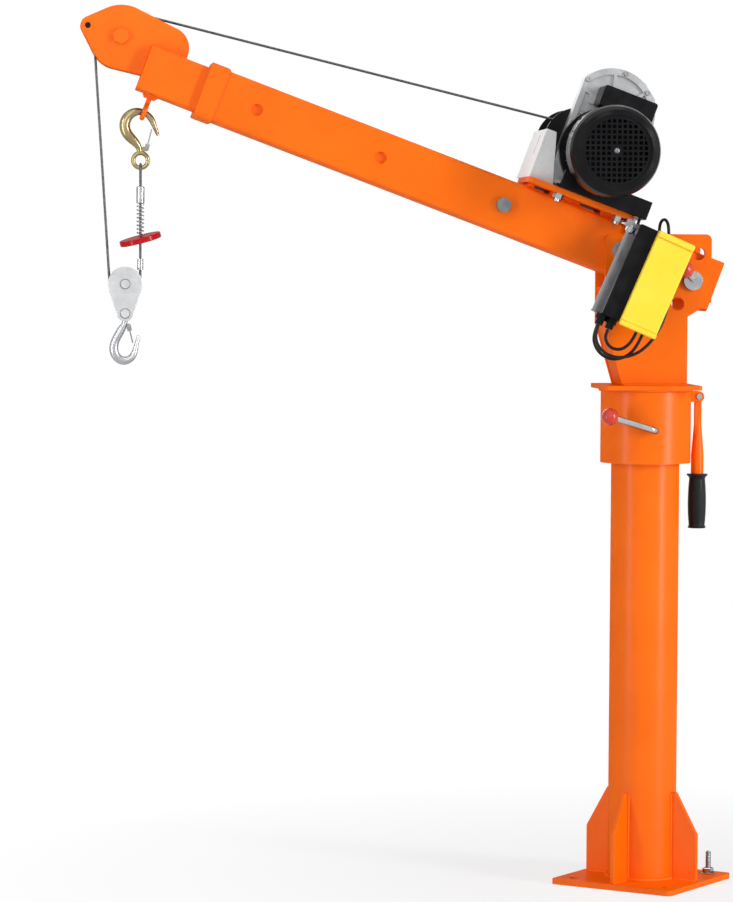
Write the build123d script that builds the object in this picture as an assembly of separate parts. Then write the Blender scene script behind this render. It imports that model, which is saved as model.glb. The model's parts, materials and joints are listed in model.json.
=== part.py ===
from build123d import *
import math
import os

# Truck crane with a swivelling head, a luffing telescopic boom and an electric
# rope hoist. Millimetres. Origin: centre of the base plate's underside on the
# post axis. +Z up, the boom reaches towards -X, the control side faces -Y.

# clearances
RUN = 0.05
WELD = 0.02
SEAT = 0.3
SLIDE = 0.5

# base and post
BASE_TURN = -38.0
BASE_W = 250.0
BASE_T = 10.0
BASE_R = 10.0
ANCHOR_PITCH = 185.0
ANCHOR_R = 8.75
POST_R = 63.5
POST_WALL = 6.0
POST_TOP = 909.0
GUSSET_T = 8.0
GUSSET_REACH = 116.0
GUSSET_EDGE = 87.0
GUSSET_TOP = 173.0
GUSSET_TIP = 9.0

# swivel head
COLLAR_R = 84.0
COLLAR_WALL = 5.0
COLLAR_BOTTOM = 786.0
HEAD_W = 180.0
HEAD_T = 8.0
HEAD_BOTTOM = 922.7
HEAD_R = 6.0
BUSH_H = 26.0
BUSH_INSET = 6.0
WASHER_R = 62.0
WASHER_BORE = 30.0

# yoke
YOKE_T = 10.0
YOKE_IN = 50.0
YOKE_RISE = 30.6
YOKE_FRONT = -88.0
YOKE_FRONT_FOOT = -55.0
YOKE_FRONT_KNEE = 134.4
YOKE_BACK = 110.0
YOKE_BACK_KNEE = 94.4
YOKE_STEM = 66.0
YOKE_STEM_KNEE = 121.4
YOKE_R = 11.0
WEB_T = 8.0
WEB_DROP = 67.4
WEB_SET = 2.0

# boom pivot and rake at rest
PIVOT_X = -57.8
PIVOT_Z = 1179.4
RAKE = 20.5
PIVOT_R = 12.0
PIVOT_HEAD_R = 18.0
PIVOT_HEAD_T = 12.0
PIVOT_NUT_T = 16.0
PIVOT_STUB = 6.0

# luff pin
LUFF_REACH = 143.5
LUFF_ANGLES = (-2.0, -22.5, -43.0)
LUFF_PIN_ANGLE = -22.5
LUFF_R = 12.0
LUFF_HEAD_R = 17.5
LUFF_HEAD_T = 7.7
LUFF_SHANK_END = 49.2
KNOB_R = 16.0
KNOB_ROD_R = 5.0
KNOB_X = 56.5
KNOB_Y = -80.0
KNOB_Z = 1144.5

# booms, in boom coordinates: s along the boom, n across it, upwards
BOOM_W = 96.0
BOOM_WALL = 6.0
BOOM_R = 7.0
BOOM_TAIL = -190.0
BOOM_FRONT = 824.5
BAND_W = 105.0
BAND_BACK = 790.0
INNER_WALL = 5.0
INNER_R = 5.0
INNER_BACK = 209.0
INNER_FRONT = 937.5
PIN_STATIONS = (234.0, 476.5, 719.0)
PIN_R = 11.0
PIN_HEAD_R = 13.5
PIN_HEAD_T = 9.0
PIN_TAIL = 12.0

# boom head
CHEEK_T = 6.0
CHEEK_IN = 17.0
CHEEK_BACK = 67.5
CHEEK_FOOT = 26.4
CHEEK_CHIN = (17.5, -62.7)
CHEEK_TIP = (83.4, -1.8)
CHEEK_CROWN = (19.4, 60.8)
CHEEK_HEEL = (-124.0, 45.9)
CHEEK_RADII = (0.0, 0.0, 0.0, 54.0, 16.0, 66.0, 38.0)
SHEAVE_S = 996.9
SHEAVE_N = 37.8
SHEAVE_PITCH_R = 48.0
SHEAVE_R = 53.0
SHEAVE_W = 18.0
SHEAVE_AXLE_R = 9.0
SHEAVE_BOLT_AF = 27.0
SHEAVE_BOLT_T = 8.0
NOSE_S = 1059.7
NOSE_N = 34.8
NOSE_HOLE_R = 5.2
ROPE_R = 2.4
ROPE_GAP = 0.5
SHEAVE_LIP = 1.5

# eye and anchor hook under the boom head
EYE_S = 908.0
EYE_ROD_R = 4.5
EYE_RING_R = 12.0
EYE_CENTRE_N = -74.5
EYE_PAD_S = 31.0
EYE_PAD_T = 8.0
EYE_PAD_SLOPE = 5.0
EYE_PAD_HALF = 12.0
EYE_STEM_SINK = 2.0

# anchor hook that hangs upside down in the eye, side view (X, Z)
ANCHOR_BOWL = (-944.5, 1402.5)
ANCHOR_BOWL_R = 25.5
ANCHOR_TURNS = (200.0, 165.0, 130.0, 100.0, 70.0, 40.0)
ANCHOR_SHANK = ((-942.5, 1354.5), (-945.5, 1364.5), (-952.5, 1373.5), (-961.0, 1382.0))
ANCHOR_TIP = ((-917.0, 1405.0), (-911.5, 1391.0), (-909.0, 1384.5))
ANCHOR_RADII = (4.8, 6.0, 8.0, 9.2, 9.6, 9.6, 8.6, 7.2, 5.6, 5.6, 4.8, 3.4, 2.2)
ANCHOR_RING_Z = 1339.0
ANCHOR_RING_R = 13.5
ANCHOR_RING_WIRE = 4.0
ANCHOR_LATCH_PIVOT = (-930.0, 1360.0)
ANCHOR_LATCH_ROOT = (-944.0, 1359.0)
ANCHOR_LATCH_TIP = (-921.0, 1396.0)
LUG_R = 4.2
LUG_HALF = 3.0
LATCH_PIN_R = 1.8
LATCH_EAR = 9.0
LATCH_EAR_T = 1.6
LATCH_T = 2.4
LATCH_RIM = 2.2
LATCH_LAP = 2.0
LATCH_PIN_STUB = 0.6

# rope end below the anchor hook
FERRULE_TOP = 1291.5
FERRULE_BOTTOM = 1260.0
FERRULE_R = 7.5
STRAND_Y = 2.9
SLEEVE_TOP = 1159.0
SLEEVE_BOTTOM = 1139.0
SLEEVE_R = 5.6
SPRING_R = 6.3
SPRING_WIRE_R = 0.9
SPRING_TURNS = 8
GAP_SAMPLES = 24
DISC_Z = 1195.0
DISC_R = 38.5
DISC_T = 10.0
DISC_EDGE = 1.5
DISC_BORE_R = 4.6
DISC_TILT = 15.0
DISC_LEAN = 5.0

# hook block
BLOCK_X = -969.0
BLOCK_Z = 1112.9
BLOCK_PITCH_R = 28.0
BLOCK_RIM_R = 30.4
BLOCK_CHEEK_R = 31.5
BLOCK_FOOT_Z = 1059.0
BLOCK_FOOT_R = 14.5
BLOCK_CHEEK_T = 3.0
BLOCK_IN = 9.0
BLOCK_SHEAVE_W = 12.0
BLOCK_PIN_R = 5.0
BLOCK_PIN_HEAD_R = 8.0
BLOCK_PIN_HEAD_T = 3.0
BLOCK_HUB_R = 11.0
HUB_R = 16.0
HOOK_EYE_R = 12.0
HOOK_EYE_HALF = 7.5
HOOK_ROUTE = (
    (-969.0, 1049.0),
    (-973.0, 1034.0),
    (-983.0, 1016.0),
    (-989.0, 999.0),
    (-985.0, 981.0),
    (-971.0, 972.5),
    (-957.0, 978.0),
    (-949.5, 993.0),
    (-946.0, 1008.0),
    (-944.5, 1019.0),
)
HOOK_RADII = (5.5, 6.5, 7.5, 8.0, 8.0, 7.7, 6.5, 5.0, 3.6, 2.2)
HOOK_LATCH_PIVOT = (-962.0, 1036.0)
HOOK_LATCH_ROOT = (-973.0, 1034.0)
HOOK_LATCH_TIP = (-954.5, 1005.0)

# clamp lever on the collar
CLAMP_X = 3.0
CLAMP_Z = 848.5
CLAMP_R = 5.9
CLAMP_IN = -66.0
CLAMP_OUT = -98.0
CLAMP_BEND_R = 12.0
CLAMP_KNOB = (-85.0, -106.4, 875.0)
CLAMP_KNOB_R = 16.0

# slewing handle
HANDLE_X = 98.3
HANDLE_Z = 908.8
HANDLE_EYE_R = 9.0
HANDLE_LUG_R = 10.0
HANDLE_PIN_R = 4.0
HANDLE_PIN_HEAD_R = 5.0
HANDLE_PIN_HEAD_T = 3.0
TANG_HALF = 6.4
TANG_W = 12.0
EAR_T = 5.0
HANDLE_NECK_Z = 870.0
HANDLE_SWELL_Z = 800.0
HANDLE_R = 11.8
HANDLE_END_Z = 765.0
GRIP_BOTTOM = 663.0
GRIP_R = 17.2
GRIP_END_R = 14.6
GRIP_FLANGE_R = 19.5
GRIP_FLANGE_T = 4.0
GRIP_EDGE = 2.0
GRIP_CORE_R = 8.0
GRIP_CORE_END = 680.0

# hoist saddle, boom coordinates
SADDLE_BACK = 2.0
SADDLE_FRONT = 210.0
SADDLE_LOW = 55.5
SADDLE_T = 10.0
SADDLE_HALF = 78.0
SADDLE_R = 8.0
RISERS = ((36.0, 60.0), (100.0, 160.0), (191.0, 203.0))
RISER_HALF = 40.0
SADDLE_BOLT_S = (30.3, 147.8)
SADDLE_BOLT_Y = 66.0
SADDLE_BOLT_R = 6.0
SADDLE_BOLT_AF = 18.0
SADDLE_BOLT_HEAD = 7.5
SADDLE_NUT = 10.0
SADDLE_BOLT_STUB = 5.0

# hoist
FLANGE_T = 6.0
BASE_BACK = -17.0
BASE_FRONT = 155.0
FLANGE_FRONT = 162.0
HOIST_BASE_TOP = 100.0
HOIST_BASE_NEAR = -92.0
MOTOR_S = 97.0
MOTOR_N = 154.0
MOTOR_R = 67.0
FIN_R = 75.0
FIN_T = 2.6
FINS = 28
MOTOR_BACK = -55.3
MOTOR_FRONT = -162.0
SHIELD_T = 6.0
SHIELD_R = 79.9
MOTOR_FLANGE_R = 82.0
MOTOR_FLANGE_T = 14.0
MOTOR_BORE_R = 58.0
SHAFT_R = 7.0
SHAFT_FRONT = -194.0
FAN_R = 58.0
FAN_HUB_R = 15.0
FAN_BLADES = 7
FAN_BLADE_T = 2.5
FAN_BACK = -172.0
FAN_FRONT = -190.0
COVER_R = 83.0
COVER_WALL = 3.0
COVER_BACK = -150.0
COVER_FRONT = -215.0
COVER_SHOULDER = -196.0
GRILLE_R = 64.0
GRILLE_HOLE = 6.3
GRILLE_PITCH = 9.7
GRILLE_REACH = 57.5
GRILLE_SLIVER = 2.0
GRILLE_BOSS_R = 13.0
GRILLE_T = 3.0
GRILLE_RIM = 2.0
GRILLE_SCREW_R = 9.0
GRILLE_SCREW_SET = 1.0
GRILLE_INSET = 2.0
GEAR_BACK = -20.0
GEAR_FRONT = -55.0
ARCH_S = 108.0
ARCH_N = 230.0
ARCH_R = 81.0
ARCH_RECESS_R = 69.0
ARCH_RECESS = 5.0
GEAR_LEFT = 176.5
GEAR_RIM = 10.0
GEAR_RIGHT = 33.0
GEAR_BOSS = (150.0, 240.0)
GEAR_BOSS_R = 9.0
GEAR_RIB_T = 5.0
GEAR_RIB_TURNS = (20.0, 75.0, 130.0)
GEAR_LUG = ((76.0, 300.0), (70.0, 303.0), (41.0, 281.0), (34.0, 262.0), (76.0, 240.0))
CAP_BACK = 42.0
CAP_FRONT = 145.0
CAP_TOP = 268.0
CAP_DEEP = -122.0
CAP_R = 5.0

# rope drum and guard
DRUM_S = 145.0
DRUM_N = 162.0
DRUM_PITCH_R = 28.1
DRUM_FLANGE_R = 60.0
DRUM_FLANGE_T = 4.0
DRUM_NEAR = -17.0
DRUM_FAR = 93.0
DRUM_SHAFT_R = 9.0
DRUM_SHAFT_NEAR = -33.0
DRUM_SHAFT_FAR = 103.0
WIND_START = 5.6
WIND_PITCH = 5.6
WIND_LOOPS = 13
GUARD_FACE = 210.0
GUARD_T = 3.0
GUARD_TOP = 159.0
GUARD_TOP_BACK = 191.0
GUARD_NEAR = -62.0
GUARD_FAR = 98.0
GUARD_FOOT_BACK = 163.0
GUARD_SLOT_LOW = 112.0
GUARD_SLOT_HIGH = 148.0
GUARD_SLOT_W = 9.0
BEARING_R = 20.0

# control box, in its own frame: x along the boom, y up the box
BOX_AT = (0.0, 52.0)
BOX_TURN = 2.9
BOX_W = 104.0
BOX_H = 178.0
BOX_FRONT = -158.0
BOX_BACK = -112.0
BOX_R = 4.0
COVER_LEFT = -34.0
COVER_RIGHT = -106.0
COVER_TOP = 1.5
COVER_BOTTOM = -183.5
COVER_FACE = -172.0
LIP_OUT = -176.0
LIP_TOP = 12.0
LIP_BOTTOM = 10.0
BRACKET_T = 3.0
BRACKET_LEFT = 13.0
BRACKET_RIGHT = -60.0
BRACKET_FLANGE_Y = -62.0
BRACKET_FLANGE = (3.0, 19.0)
BRACKET_FOOT = 12.0
BRACKET_BOLT_S = 9.5
BRACKET_BOLT_Y = -70.0
BRACKET_BOLT_R = 4.0
BRACKET_BOLT_AF = 13.0
BRACKET_BOLT_HEAD = 5.5
GLAND_X = (-5.0, -25.0)
GLAND_Y = -136.0
GLAND_R = 9.5
GLAND_L = 20.0
CABLE_R = 2.9
CABLE_SPLIT = 5.0
JUMPER_TURNS = (-90.0, -122.0, -154.0, -186.0, -218.0, -248.0)
JUMPER_RUNS = ((12.0, 13.0, 13.0, 13.0, 14.0, 20.0), (20.0, 22.0, 23.0, 22.0, 24.0, 26.5))
FEED_ENTRY_S = -9.0
FEED_ENTRY_Y = -66.0
FEED_LEAD = 18.0
GLAND_LEAD = 14.0
FEED_LOOP = (
    (-16.4, -54.7, -142.5),
    (-41.8, -65.6, -143.0),
    (-73.1, -57.4, -142.0),
    (-100.6, -30.3, -138.0),
    (-114.2, 13.7, -129.5),
)
FEED_ROUTE = (
    (17.5, -117.0, 1072.0),
    (24.0, -104.0, 1110.0),
    (25.0, -104.0, 1150.0),
    (21.0, -104.0, 1190.0),
    (21.0, -104.0, 1225.0),
    (17.8, -93.4, 1236.3),
    (13.2, -78.4, 1236.3),
    (10.0, -67.8, 1225.0),
    (10.0, -67.0, 1195.0),
    (1.8, -66.0, 1183.7),
    (-11.5, -66.0, 1179.4),
    (-24.8, -66.0, 1183.7),
    (-33.1, -66.0, 1195.0),
)


def block(x0, x1, y0, y1, z0, z1):
    centre = ((x0 + x1) / 2, (y0 + y1) / 2, (z0 + z1) / 2)
    return Pos(*centre) * Box(x1 - x0, y1 - y0, z1 - z0)


def rod(x, y, radius, z0, z1):
    return Pos(x, y, (z0 + z1) / 2) * Cylinder(radius, z1 - z0)


def prism(points, z0, z1):
    face = make_face(Polyline(*points, close=True))
    return Pos(0, 0, z0) * extrude(face, amount=z1 - z0, dir=(0, 0, 1))


def hexagon(x, y, across_flats, z0, z1):
    face = Pos(x, y) * RegularPolygon(across_flats / 2, 6, major_radius=False)
    return Pos(0, 0, z0) * extrude(face, amount=z1 - z0, dir=(0, 0, 1))


def tube_between(p, q, radius):
    start = Vector(*p)
    way = Vector(*q) - start
    return extrude(Plane(origin=start, z_dir=way) * Circle(radius), amount=way.length)


def swept(path, radius):
    start = Plane(origin=path @ 0, z_dir=path % 0)
    return sweep(start * Circle(radius), path=path)


def joined(*shapes):
    whole = shapes[0]
    for shape in shapes[1:]:
        whole = whole + shape
    return whole


def group(*shapes):
    solids = []
    for shape in shapes:
        solids.extend(shape.solids())
    return Compound(children=solids)


def save(shape, node):
    solids = shape.solids()
    whole = solids[0] if len(solids) == 1 else Compound(children=list(solids))
    export_step(whole, "parts/" + node + ".step")


# boom coordinates: local x is s, local y is n, local z is the row's +Y
SIN = math.sin(math.radians(RAKE))
COS = math.cos(math.radians(RAKE))
BOOM = Plane(origin=(PIVOT_X, 0, PIVOT_Z), x_dir=(-COS, 0, SIN), z_dir=(0, 1, 0)).location
# side view of the row: local x is +X, local y is +Z, local z is -Y
SIDE = Plane(origin=(0, 0, 0), x_dir=(1, 0, 0), z_dir=(0, -1, 0)).location


def boom_point(s, n, y):
    return (PIVOT_X - s * COS + n * SIN, y, PIVOT_Z + s * SIN + n * COS)


def base_pieces():
    turn = Rot(0, 0, BASE_TURN)
    plate = extrude(RectangleRounded(BASE_W, BASE_W, BASE_R), amount=BASE_T)
    half = ANCHOR_PITCH / 2
    for x in (-half, half):
        for y in (-half, half):
            plate = plate - rod(x, y, ANCHOR_R, -1, BASE_T + 1)
    save(turn * plate, "base_plate")
    post = rod(0, 0, POST_R, BASE_T, POST_TOP) - rod(0, 0, POST_R - POST_WALL, 0, POST_TOP + 1)
    save(post, "post")
    inner = POST_R - POST_WALL
    outline = [
        (inner, BASE_T),
        (GUSSET_REACH, BASE_T),
        (GUSSET_REACH, BASE_T + GUSSET_EDGE),
        (POST_R + GUSSET_TIP, GUSSET_TOP),
        (inner, GUSSET_TOP),
    ]
    upright = Plane(origin=(0, GUSSET_T / 2, 0), x_dir=(1, 0, 0), z_dir=(0, -1, 0)).location
    gusset = upright * prism(outline, 0, GUSSET_T) - rod(0, 0, POST_R + WELD, 0, POST_TOP)
    save(group(*[Rot(0, 0, BASE_TURN + 90 * k) * gusset for k in range(4)]), "gussets")


def swivel_pieces():
    bore = COLLAR_R - COLLAR_WALL
    collar = rod(0, 0, COLLAR_R, COLLAR_BOTTOM, HEAD_BOTTOM)
    collar = collar - rod(0, 0, bore, COLLAR_BOTTOM - 1, HEAD_BOTTOM + 1)
    clamp = Plane(origin=(CLAMP_X, 0, CLAMP_Z), z_dir=(0, -1, 0)).location
    collar = collar - clamp * rod(0, 0, CLAMP_R + RUN, 0, COLLAR_R + 5)
    save(collar, "collar")
    head = extrude(RectangleRounded(HEAD_W, HEAD_W, HEAD_R), amount=HEAD_T)
    save(Pos(0, 0, HEAD_BOTTOM) * head, "head_plate")
    washer = rod(0, 0, WASHER_R, POST_TOP + SEAT, HEAD_BOTTOM)
    rings = [washer - rod(0, 0, WASHER_BORE, POST_TOP, HEAD_BOTTOM + 1)]
    low = COLLAR_BOTTOM + BUSH_INSET
    high = POST_TOP - BUSH_INSET - BUSH_H
    for z in (low, high):
        ring = rod(0, 0, bore - WELD, z, z + BUSH_H)
        rings.append(ring - rod(0, 0, POST_R + RUN, z - 1, z + BUSH_H + 1))
    save(group(*rings), "swivel_bushes")


def yoke_outline():
    foot = HEAD_BOTTOM + HEAD_T
    return [
        (YOKE_FRONT_FOOT, foot),
        (YOKE_STEM, foot),
        (YOKE_STEM, PIVOT_Z - YOKE_STEM_KNEE),
        (YOKE_BACK, PIVOT_Z - YOKE_BACK_KNEE),
        (YOKE_BACK, PIVOT_Z + YOKE_RISE),
        (YOKE_FRONT, PIVOT_Z + YOKE_RISE),
        (YOKE_FRONT, PIVOT_Z - YOKE_FRONT_KNEE),
    ]


def luff_point(angle):
    turn = math.radians(angle)
    return (PIVOT_X + LUFF_REACH * math.cos(turn), PIVOT_Z + LUFF_REACH * math.sin(turn))


def yoke_pieces():
    outline = yoke_outline()
    radii = [0, 0, 0, 0, YOKE_R, YOKE_R, 0]
    outer = YOKE_IN + YOKE_T
    plates = []
    for low in (YOKE_IN, -outer):
        plate = rounded_prism(outline, radii, low, low + YOKE_T)
        plate = plate - rod(PIVOT_X, PIVOT_Z, PIVOT_R + RUN, low - 1, low + YOKE_T + 1)
        for angle in LUFF_ANGLES:
            x, z = luff_point(angle)
            plate = plate - rod(x, z, LUFF_R + RUN, low - 1, low + YOKE_T + 1)
        plates.append(SIDE * plate)
    save(group(*plates), "yoke_plates")
    foot = HEAD_BOTTOM + HEAD_T
    knee = PIVOT_Z - YOKE_FRONT_KNEE
    web_top = PIVOT_Z - WEB_DROP
    front = [
        (YOKE_FRONT_FOOT + WEB_SET, foot),
        (YOKE_FRONT_FOOT + WEB_SET + WEB_T, foot),
        (YOKE_FRONT + WEB_SET + WEB_T, knee),
        (YOKE_FRONT + WEB_SET + WEB_T, web_top),
        (YOKE_FRONT + WEB_SET, web_top),
        (YOKE_FRONT + WEB_SET, knee),
    ]
    save(SIDE * prism(front, -YOKE_IN, YOKE_IN), "yoke_web")
    bolt = joined(
        rod(PIVOT_X, PIVOT_Z, PIVOT_R, -outer - PIVOT_NUT_T - PIVOT_STUB, outer),
        rod(PIVOT_X, PIVOT_Z, PIVOT_HEAD_R, outer, outer + PIVOT_HEAD_T),
    )
    nut = hexagon(PIVOT_X, PIVOT_Z, 2 * PIVOT_HEAD_R, -outer - PIVOT_NUT_T, -outer)
    nut = nut - rod(PIVOT_X, PIVOT_Z, PIVOT_R, -outer - PIVOT_NUT_T - 1, -outer + 1)
    save(SIDE * group(bolt, nut), "pivot_bolt")


def rounded_prism(points, radii, z0, z1):
    face = make_face(Polyline(*points, close=True))
    for point, radius in zip(points, radii):
        if radius:
            near = face.vertices().sort_by_distance((point[0], point[1], 0))[0]
            face = fillet(near, radius)
    return Pos(0, 0, z0) * extrude(face, amount=z1 - z0, dir=(0, 0, 1))


def luff_pin_pieces():
    x, z = luff_point(LUFF_PIN_ANGLE)
    outer = YOKE_IN + YOKE_T
    pin = joined(
        rod(x, z, LUFF_R, LUFF_SHANK_END, outer + SEAT),
        rod(x, z, LUFF_HEAD_R, outer + SEAT, outer + SEAT + LUFF_HEAD_T),
    )
    pin = SIDE * pin
    face = -(outer + SEAT + LUFF_HEAD_T)
    knob = (KNOB_X, KNOB_Y, KNOB_Z)
    stalk = tube_between((x, face + LUFF_HEAD_T / 2, z), knob, KNOB_ROD_R)
    ball = Pos(*knob) * Sphere(KNOB_R)
    save(joined(pin, stalk) - ball, "luff_pin")
    save(ball, "luff_pin_knob")


def square_tube(width, wall, radius, start, end):
    inside = width - 2 * wall
    outer = Plane.YZ * RectangleRounded(width, width, radius)
    inner = Plane.YZ * RectangleRounded(inside, inside, max(radius - wall, 1.0))
    tube = extrude(outer, amount=end - start) - extrude(inner, amount=end - start)
    return Pos(start, 0, 0) * tube


def boom_pieces():
    half = BOOM_W / 2
    outer = square_tube(BOOM_W, BOOM_WALL, BOOM_R, BOOM_TAIL, BOOM_FRONT)
    outer = outer - rod(0, 0, PIVOT_R + RUN, -half - 1, half + 1)
    tail = math.radians(LUFF_PIN_ANGLE + RAKE)
    tail_s = -LUFF_REACH * math.cos(tail)
    tail_n = LUFF_REACH * math.sin(tail)
    outer = outer - rod(tail_s, tail_n, LUFF_R + RUN, -half - 1, half + 1)
    for station in PIN_STATIONS:
        outer = outer - rod(station, 0, PIN_R + RUN, -half - 1, half + 1)
    save(BOOM * outer, "boom_outer_tube")
    band_wall = (BAND_W - BOOM_W) / 2
    band = square_tube(BAND_W, band_wall, BOOM_R + band_wall, BAND_BACK, BOOM_FRONT)
    save(BOOM * band, "boom_band")
    width = inner_width()
    inner = square_tube(width, INNER_WALL, INNER_R, INNER_BACK, INNER_FRONT)
    half = width / 2
    lid = Plane.YZ * RectangleRounded(width, width, INNER_R)
    inner = inner + Pos(INNER_FRONT - INNER_WALL, 0, 0) * extrude(lid, amount=INNER_WALL)
    inner = inner - rod(PIN_STATIONS[0], 0, PIN_R + RUN, -half - 1, half + 1)
    save(BOOM * inner, "boom_inner_tube")
    side = BOOM_W / 2
    pin = joined(
        rod(PIN_STATIONS[0], 0, PIN_R, -side - SEAT, side + PIN_TAIL),
        rod(PIN_STATIONS[0], 0, PIN_HEAD_R, -side - SEAT - PIN_HEAD_T, -side - SEAT),
    )
    save(BOOM * pin, "telescope_pin")


def inner_width():
    return BOOM_W - 2 * BOOM_WALL - 2 * SLIDE


def cheek_outline():
    top = inner_width() / 2
    round_sheave = [
        (SHEAVE_S + s, SHEAVE_N + n) for s, n in (CHEEK_CHIN, CHEEK_TIP, CHEEK_CROWN, CHEEK_HEEL)
    ]
    return [
        (INNER_FRONT - CHEEK_BACK, top),
        (INNER_FRONT, top),
        (INNER_FRONT, CHEEK_FOOT - top),
        *round_sheave,
    ]


def sheave(pitch, rim, width, hub_r, hub_w, bore):
    low = pitch - ROPE_R - ROPE_GAP
    throat = ROPE_R + ROPE_GAP
    mouth = width / 2 - SHEAVE_LIP
    profile = [
        (bore, -hub_w / 2),
        (hub_r, -hub_w / 2),
        (hub_r, -width / 2),
        (rim, -width / 2),
        (rim, -mouth),
        (low, -throat),
        (low, throat),
        (rim, mouth),
        (rim, width / 2),
        (hub_r, width / 2),
        (hub_r, hub_w / 2),
        (bore, hub_w / 2),
    ]
    face = Plane.XZ * make_face(Polyline(*profile, close=True))
    return revolve(face, axis=Axis.Z)


def head_pieces():
    outer = CHEEK_IN + CHEEK_T
    cheeks = []
    for low in (CHEEK_IN, -outer):
        cheek = rounded_prism(cheek_outline(), CHEEK_RADII, low, low + CHEEK_T)
        cheek = cheek - rod(SHEAVE_S, SHEAVE_N, SHEAVE_AXLE_R, low - 1, low + CHEEK_T + 1)
        cheeks.append(cheek - rod(NOSE_S, NOSE_N, NOSE_HOLE_R, low - 1, low + CHEEK_T + 1))
    save(BOOM * group(*cheeks), "head_cheeks")
    bolt = joined(
        rod(SHEAVE_S, SHEAVE_N, SHEAVE_AXLE_R, -outer, outer + SHEAVE_BOLT_T),
        hexagon(SHEAVE_S, SHEAVE_N, SHEAVE_BOLT_AF, -outer - SHEAVE_BOLT_T, -outer),
    )
    nut = hexagon(SHEAVE_S, SHEAVE_N, SHEAVE_BOLT_AF, outer, outer + SHEAVE_BOLT_T)
    nut = nut - rod(SHEAVE_S, SHEAVE_N, SHEAVE_AXLE_R, outer - 1, outer + SHEAVE_BOLT_T + 1)
    save(BOOM * group(bolt, nut), "head_sheave_bolt")
    hub_w = 2 * (CHEEK_IN - SLIDE)
    wheel = sheave(SHEAVE_PITCH_R, SHEAVE_R, SHEAVE_W, HUB_R, hub_w, SHEAVE_AXLE_R + RUN)
    save(BOOM * (Pos(SHEAVE_S, SHEAVE_N, 0) * wheel), "head_sheave")
    under = -inner_width() / 2
    pad = [
        (EYE_S - EYE_PAD_S / 2, under),
        (EYE_S - EYE_PAD_S / 2 + EYE_PAD_SLOPE, under - EYE_PAD_T),
        (EYE_S + EYE_PAD_S / 2 - EYE_PAD_SLOPE, under - EYE_PAD_T),
        (EYE_S + EYE_PAD_S / 2, under),
    ]
    stem_end = EYE_CENTRE_N + EYE_RING_R
    stem = tube_between((EYE_S, under - EYE_STEM_SINK, 0), (EYE_S, stem_end, 0), EYE_ROD_R)
    ring = Pos(EYE_S, EYE_CENTRE_N, 0) * (Rot(0, 90, 0) * Torus(EYE_RING_R, EYE_ROD_R))
    save(BOOM * joined(prism(pad, -EYE_PAD_HALF, EYE_PAD_HALF), stem, ring), "boom_eye")


def tangent_pair(c1, r1, c2, r2, side):
    way = (Vector(*c2) - Vector(*c1))
    unit = way.normalized()
    across = Vector(-unit.Y, unit.X) * side
    k = (r1 - r2) / way.length
    normal = unit * k + across * math.sqrt(1 - k * k)
    return (Vector(*c1) + normal * r1, Vector(*c2) + normal * r2, normal)


def hook_loft(route, radii):
    points = [Vector(x, z, 0) for x, z in route]
    last = len(points) - 1
    rings = []
    for i, point in enumerate(points):
        way = points[min(i + 1, last)] - points[max(i - 1, 0)]
        rings.append(Plane(origin=point, x_dir=(0, 0, 1), z_dir=way) * Circle(radii[i]))
    return loft(rings)


def latch(pivot, tip, lug_half, pin_r, ear_t, strip_t):
    start = Vector(*pivot)
    way = Vector(*tip) - start
    length = way.length
    inner = lug_half + SEAT
    ears = []
    ear_r = pin_r + LATCH_RIM
    for low in (inner, -inner - ear_t):
        ear = rod(0, 0, ear_r, low, low + ear_t)
        ear = ear + block(0, LATCH_EAR, -ear_r, ear_r, low, low + ear_t)
        ears.append(ear - rod(0, 0, pin_r + RUN, low - 1, low + ear_t + 1))
    strip = block(LATCH_EAR - LATCH_LAP, length, -strip_t / 2, strip_t / 2, -inner - ear_t, inner + ear_t)
    whole = joined(strip, *ears)
    turn = math.degrees(math.atan2(way.Y, way.X))
    return Pos(start.X, start.Y, 0) * (Rot(0, 0, turn) * whole)


def hook_with_lug(route, radii, ring_part, pivot, lug_to, pin_r):
    body = hook_loft(route, radii) + ring_part
    start = Vector(*lug_to)
    way = Vector(*pivot) - start
    turn = math.degrees(math.atan2(way.Y, way.X))
    arm = block(0, way.length, -LUG_R, LUG_R, -LUG_HALF, LUG_HALF)
    arm = Pos(start.X, start.Y, 0) * (Rot(0, 0, turn) * arm)
    lug = arm + rod(pivot[0], pivot[1], LUG_R, -LUG_HALF, LUG_HALF)
    reach = LUG_HALF + SEAT + LATCH_EAR_T + LATCH_PIN_STUB
    pin = rod(pivot[0], pivot[1], pin_r, -reach, reach)
    return joined(body, lug, pin)


def fall_x():
    return BLOCK_X + BLOCK_PITCH_R


def anchor_hook_pieces():
    bowl = []
    for turn in ANCHOR_TURNS:
        angle = math.radians(turn)
        x = ANCHOR_BOWL[0] + ANCHOR_BOWL_R * math.cos(angle)
        bowl.append((x, ANCHOR_BOWL[1] + ANCHOR_BOWL_R * math.sin(angle)))
    route = list(ANCHOR_SHANK) + bowl + list(ANCHOR_TIP)
    ring = Pos(fall_x(), ANCHOR_RING_Z, 0) * Torus(ANCHOR_RING_R, ANCHOR_RING_WIRE)
    hook = hook_with_lug(
        route, ANCHOR_RADII, ring, ANCHOR_LATCH_PIVOT, ANCHOR_LATCH_ROOT, LATCH_PIN_R
    )
    save(SIDE * hook, "anchor_hook")
    flap = latch(
        ANCHOR_LATCH_PIVOT, ANCHOR_LATCH_TIP, LUG_HALF, LATCH_PIN_R, LATCH_EAR_T, LATCH_T
    )
    save(SIDE * flap, "anchor_hook_latch")


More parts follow.
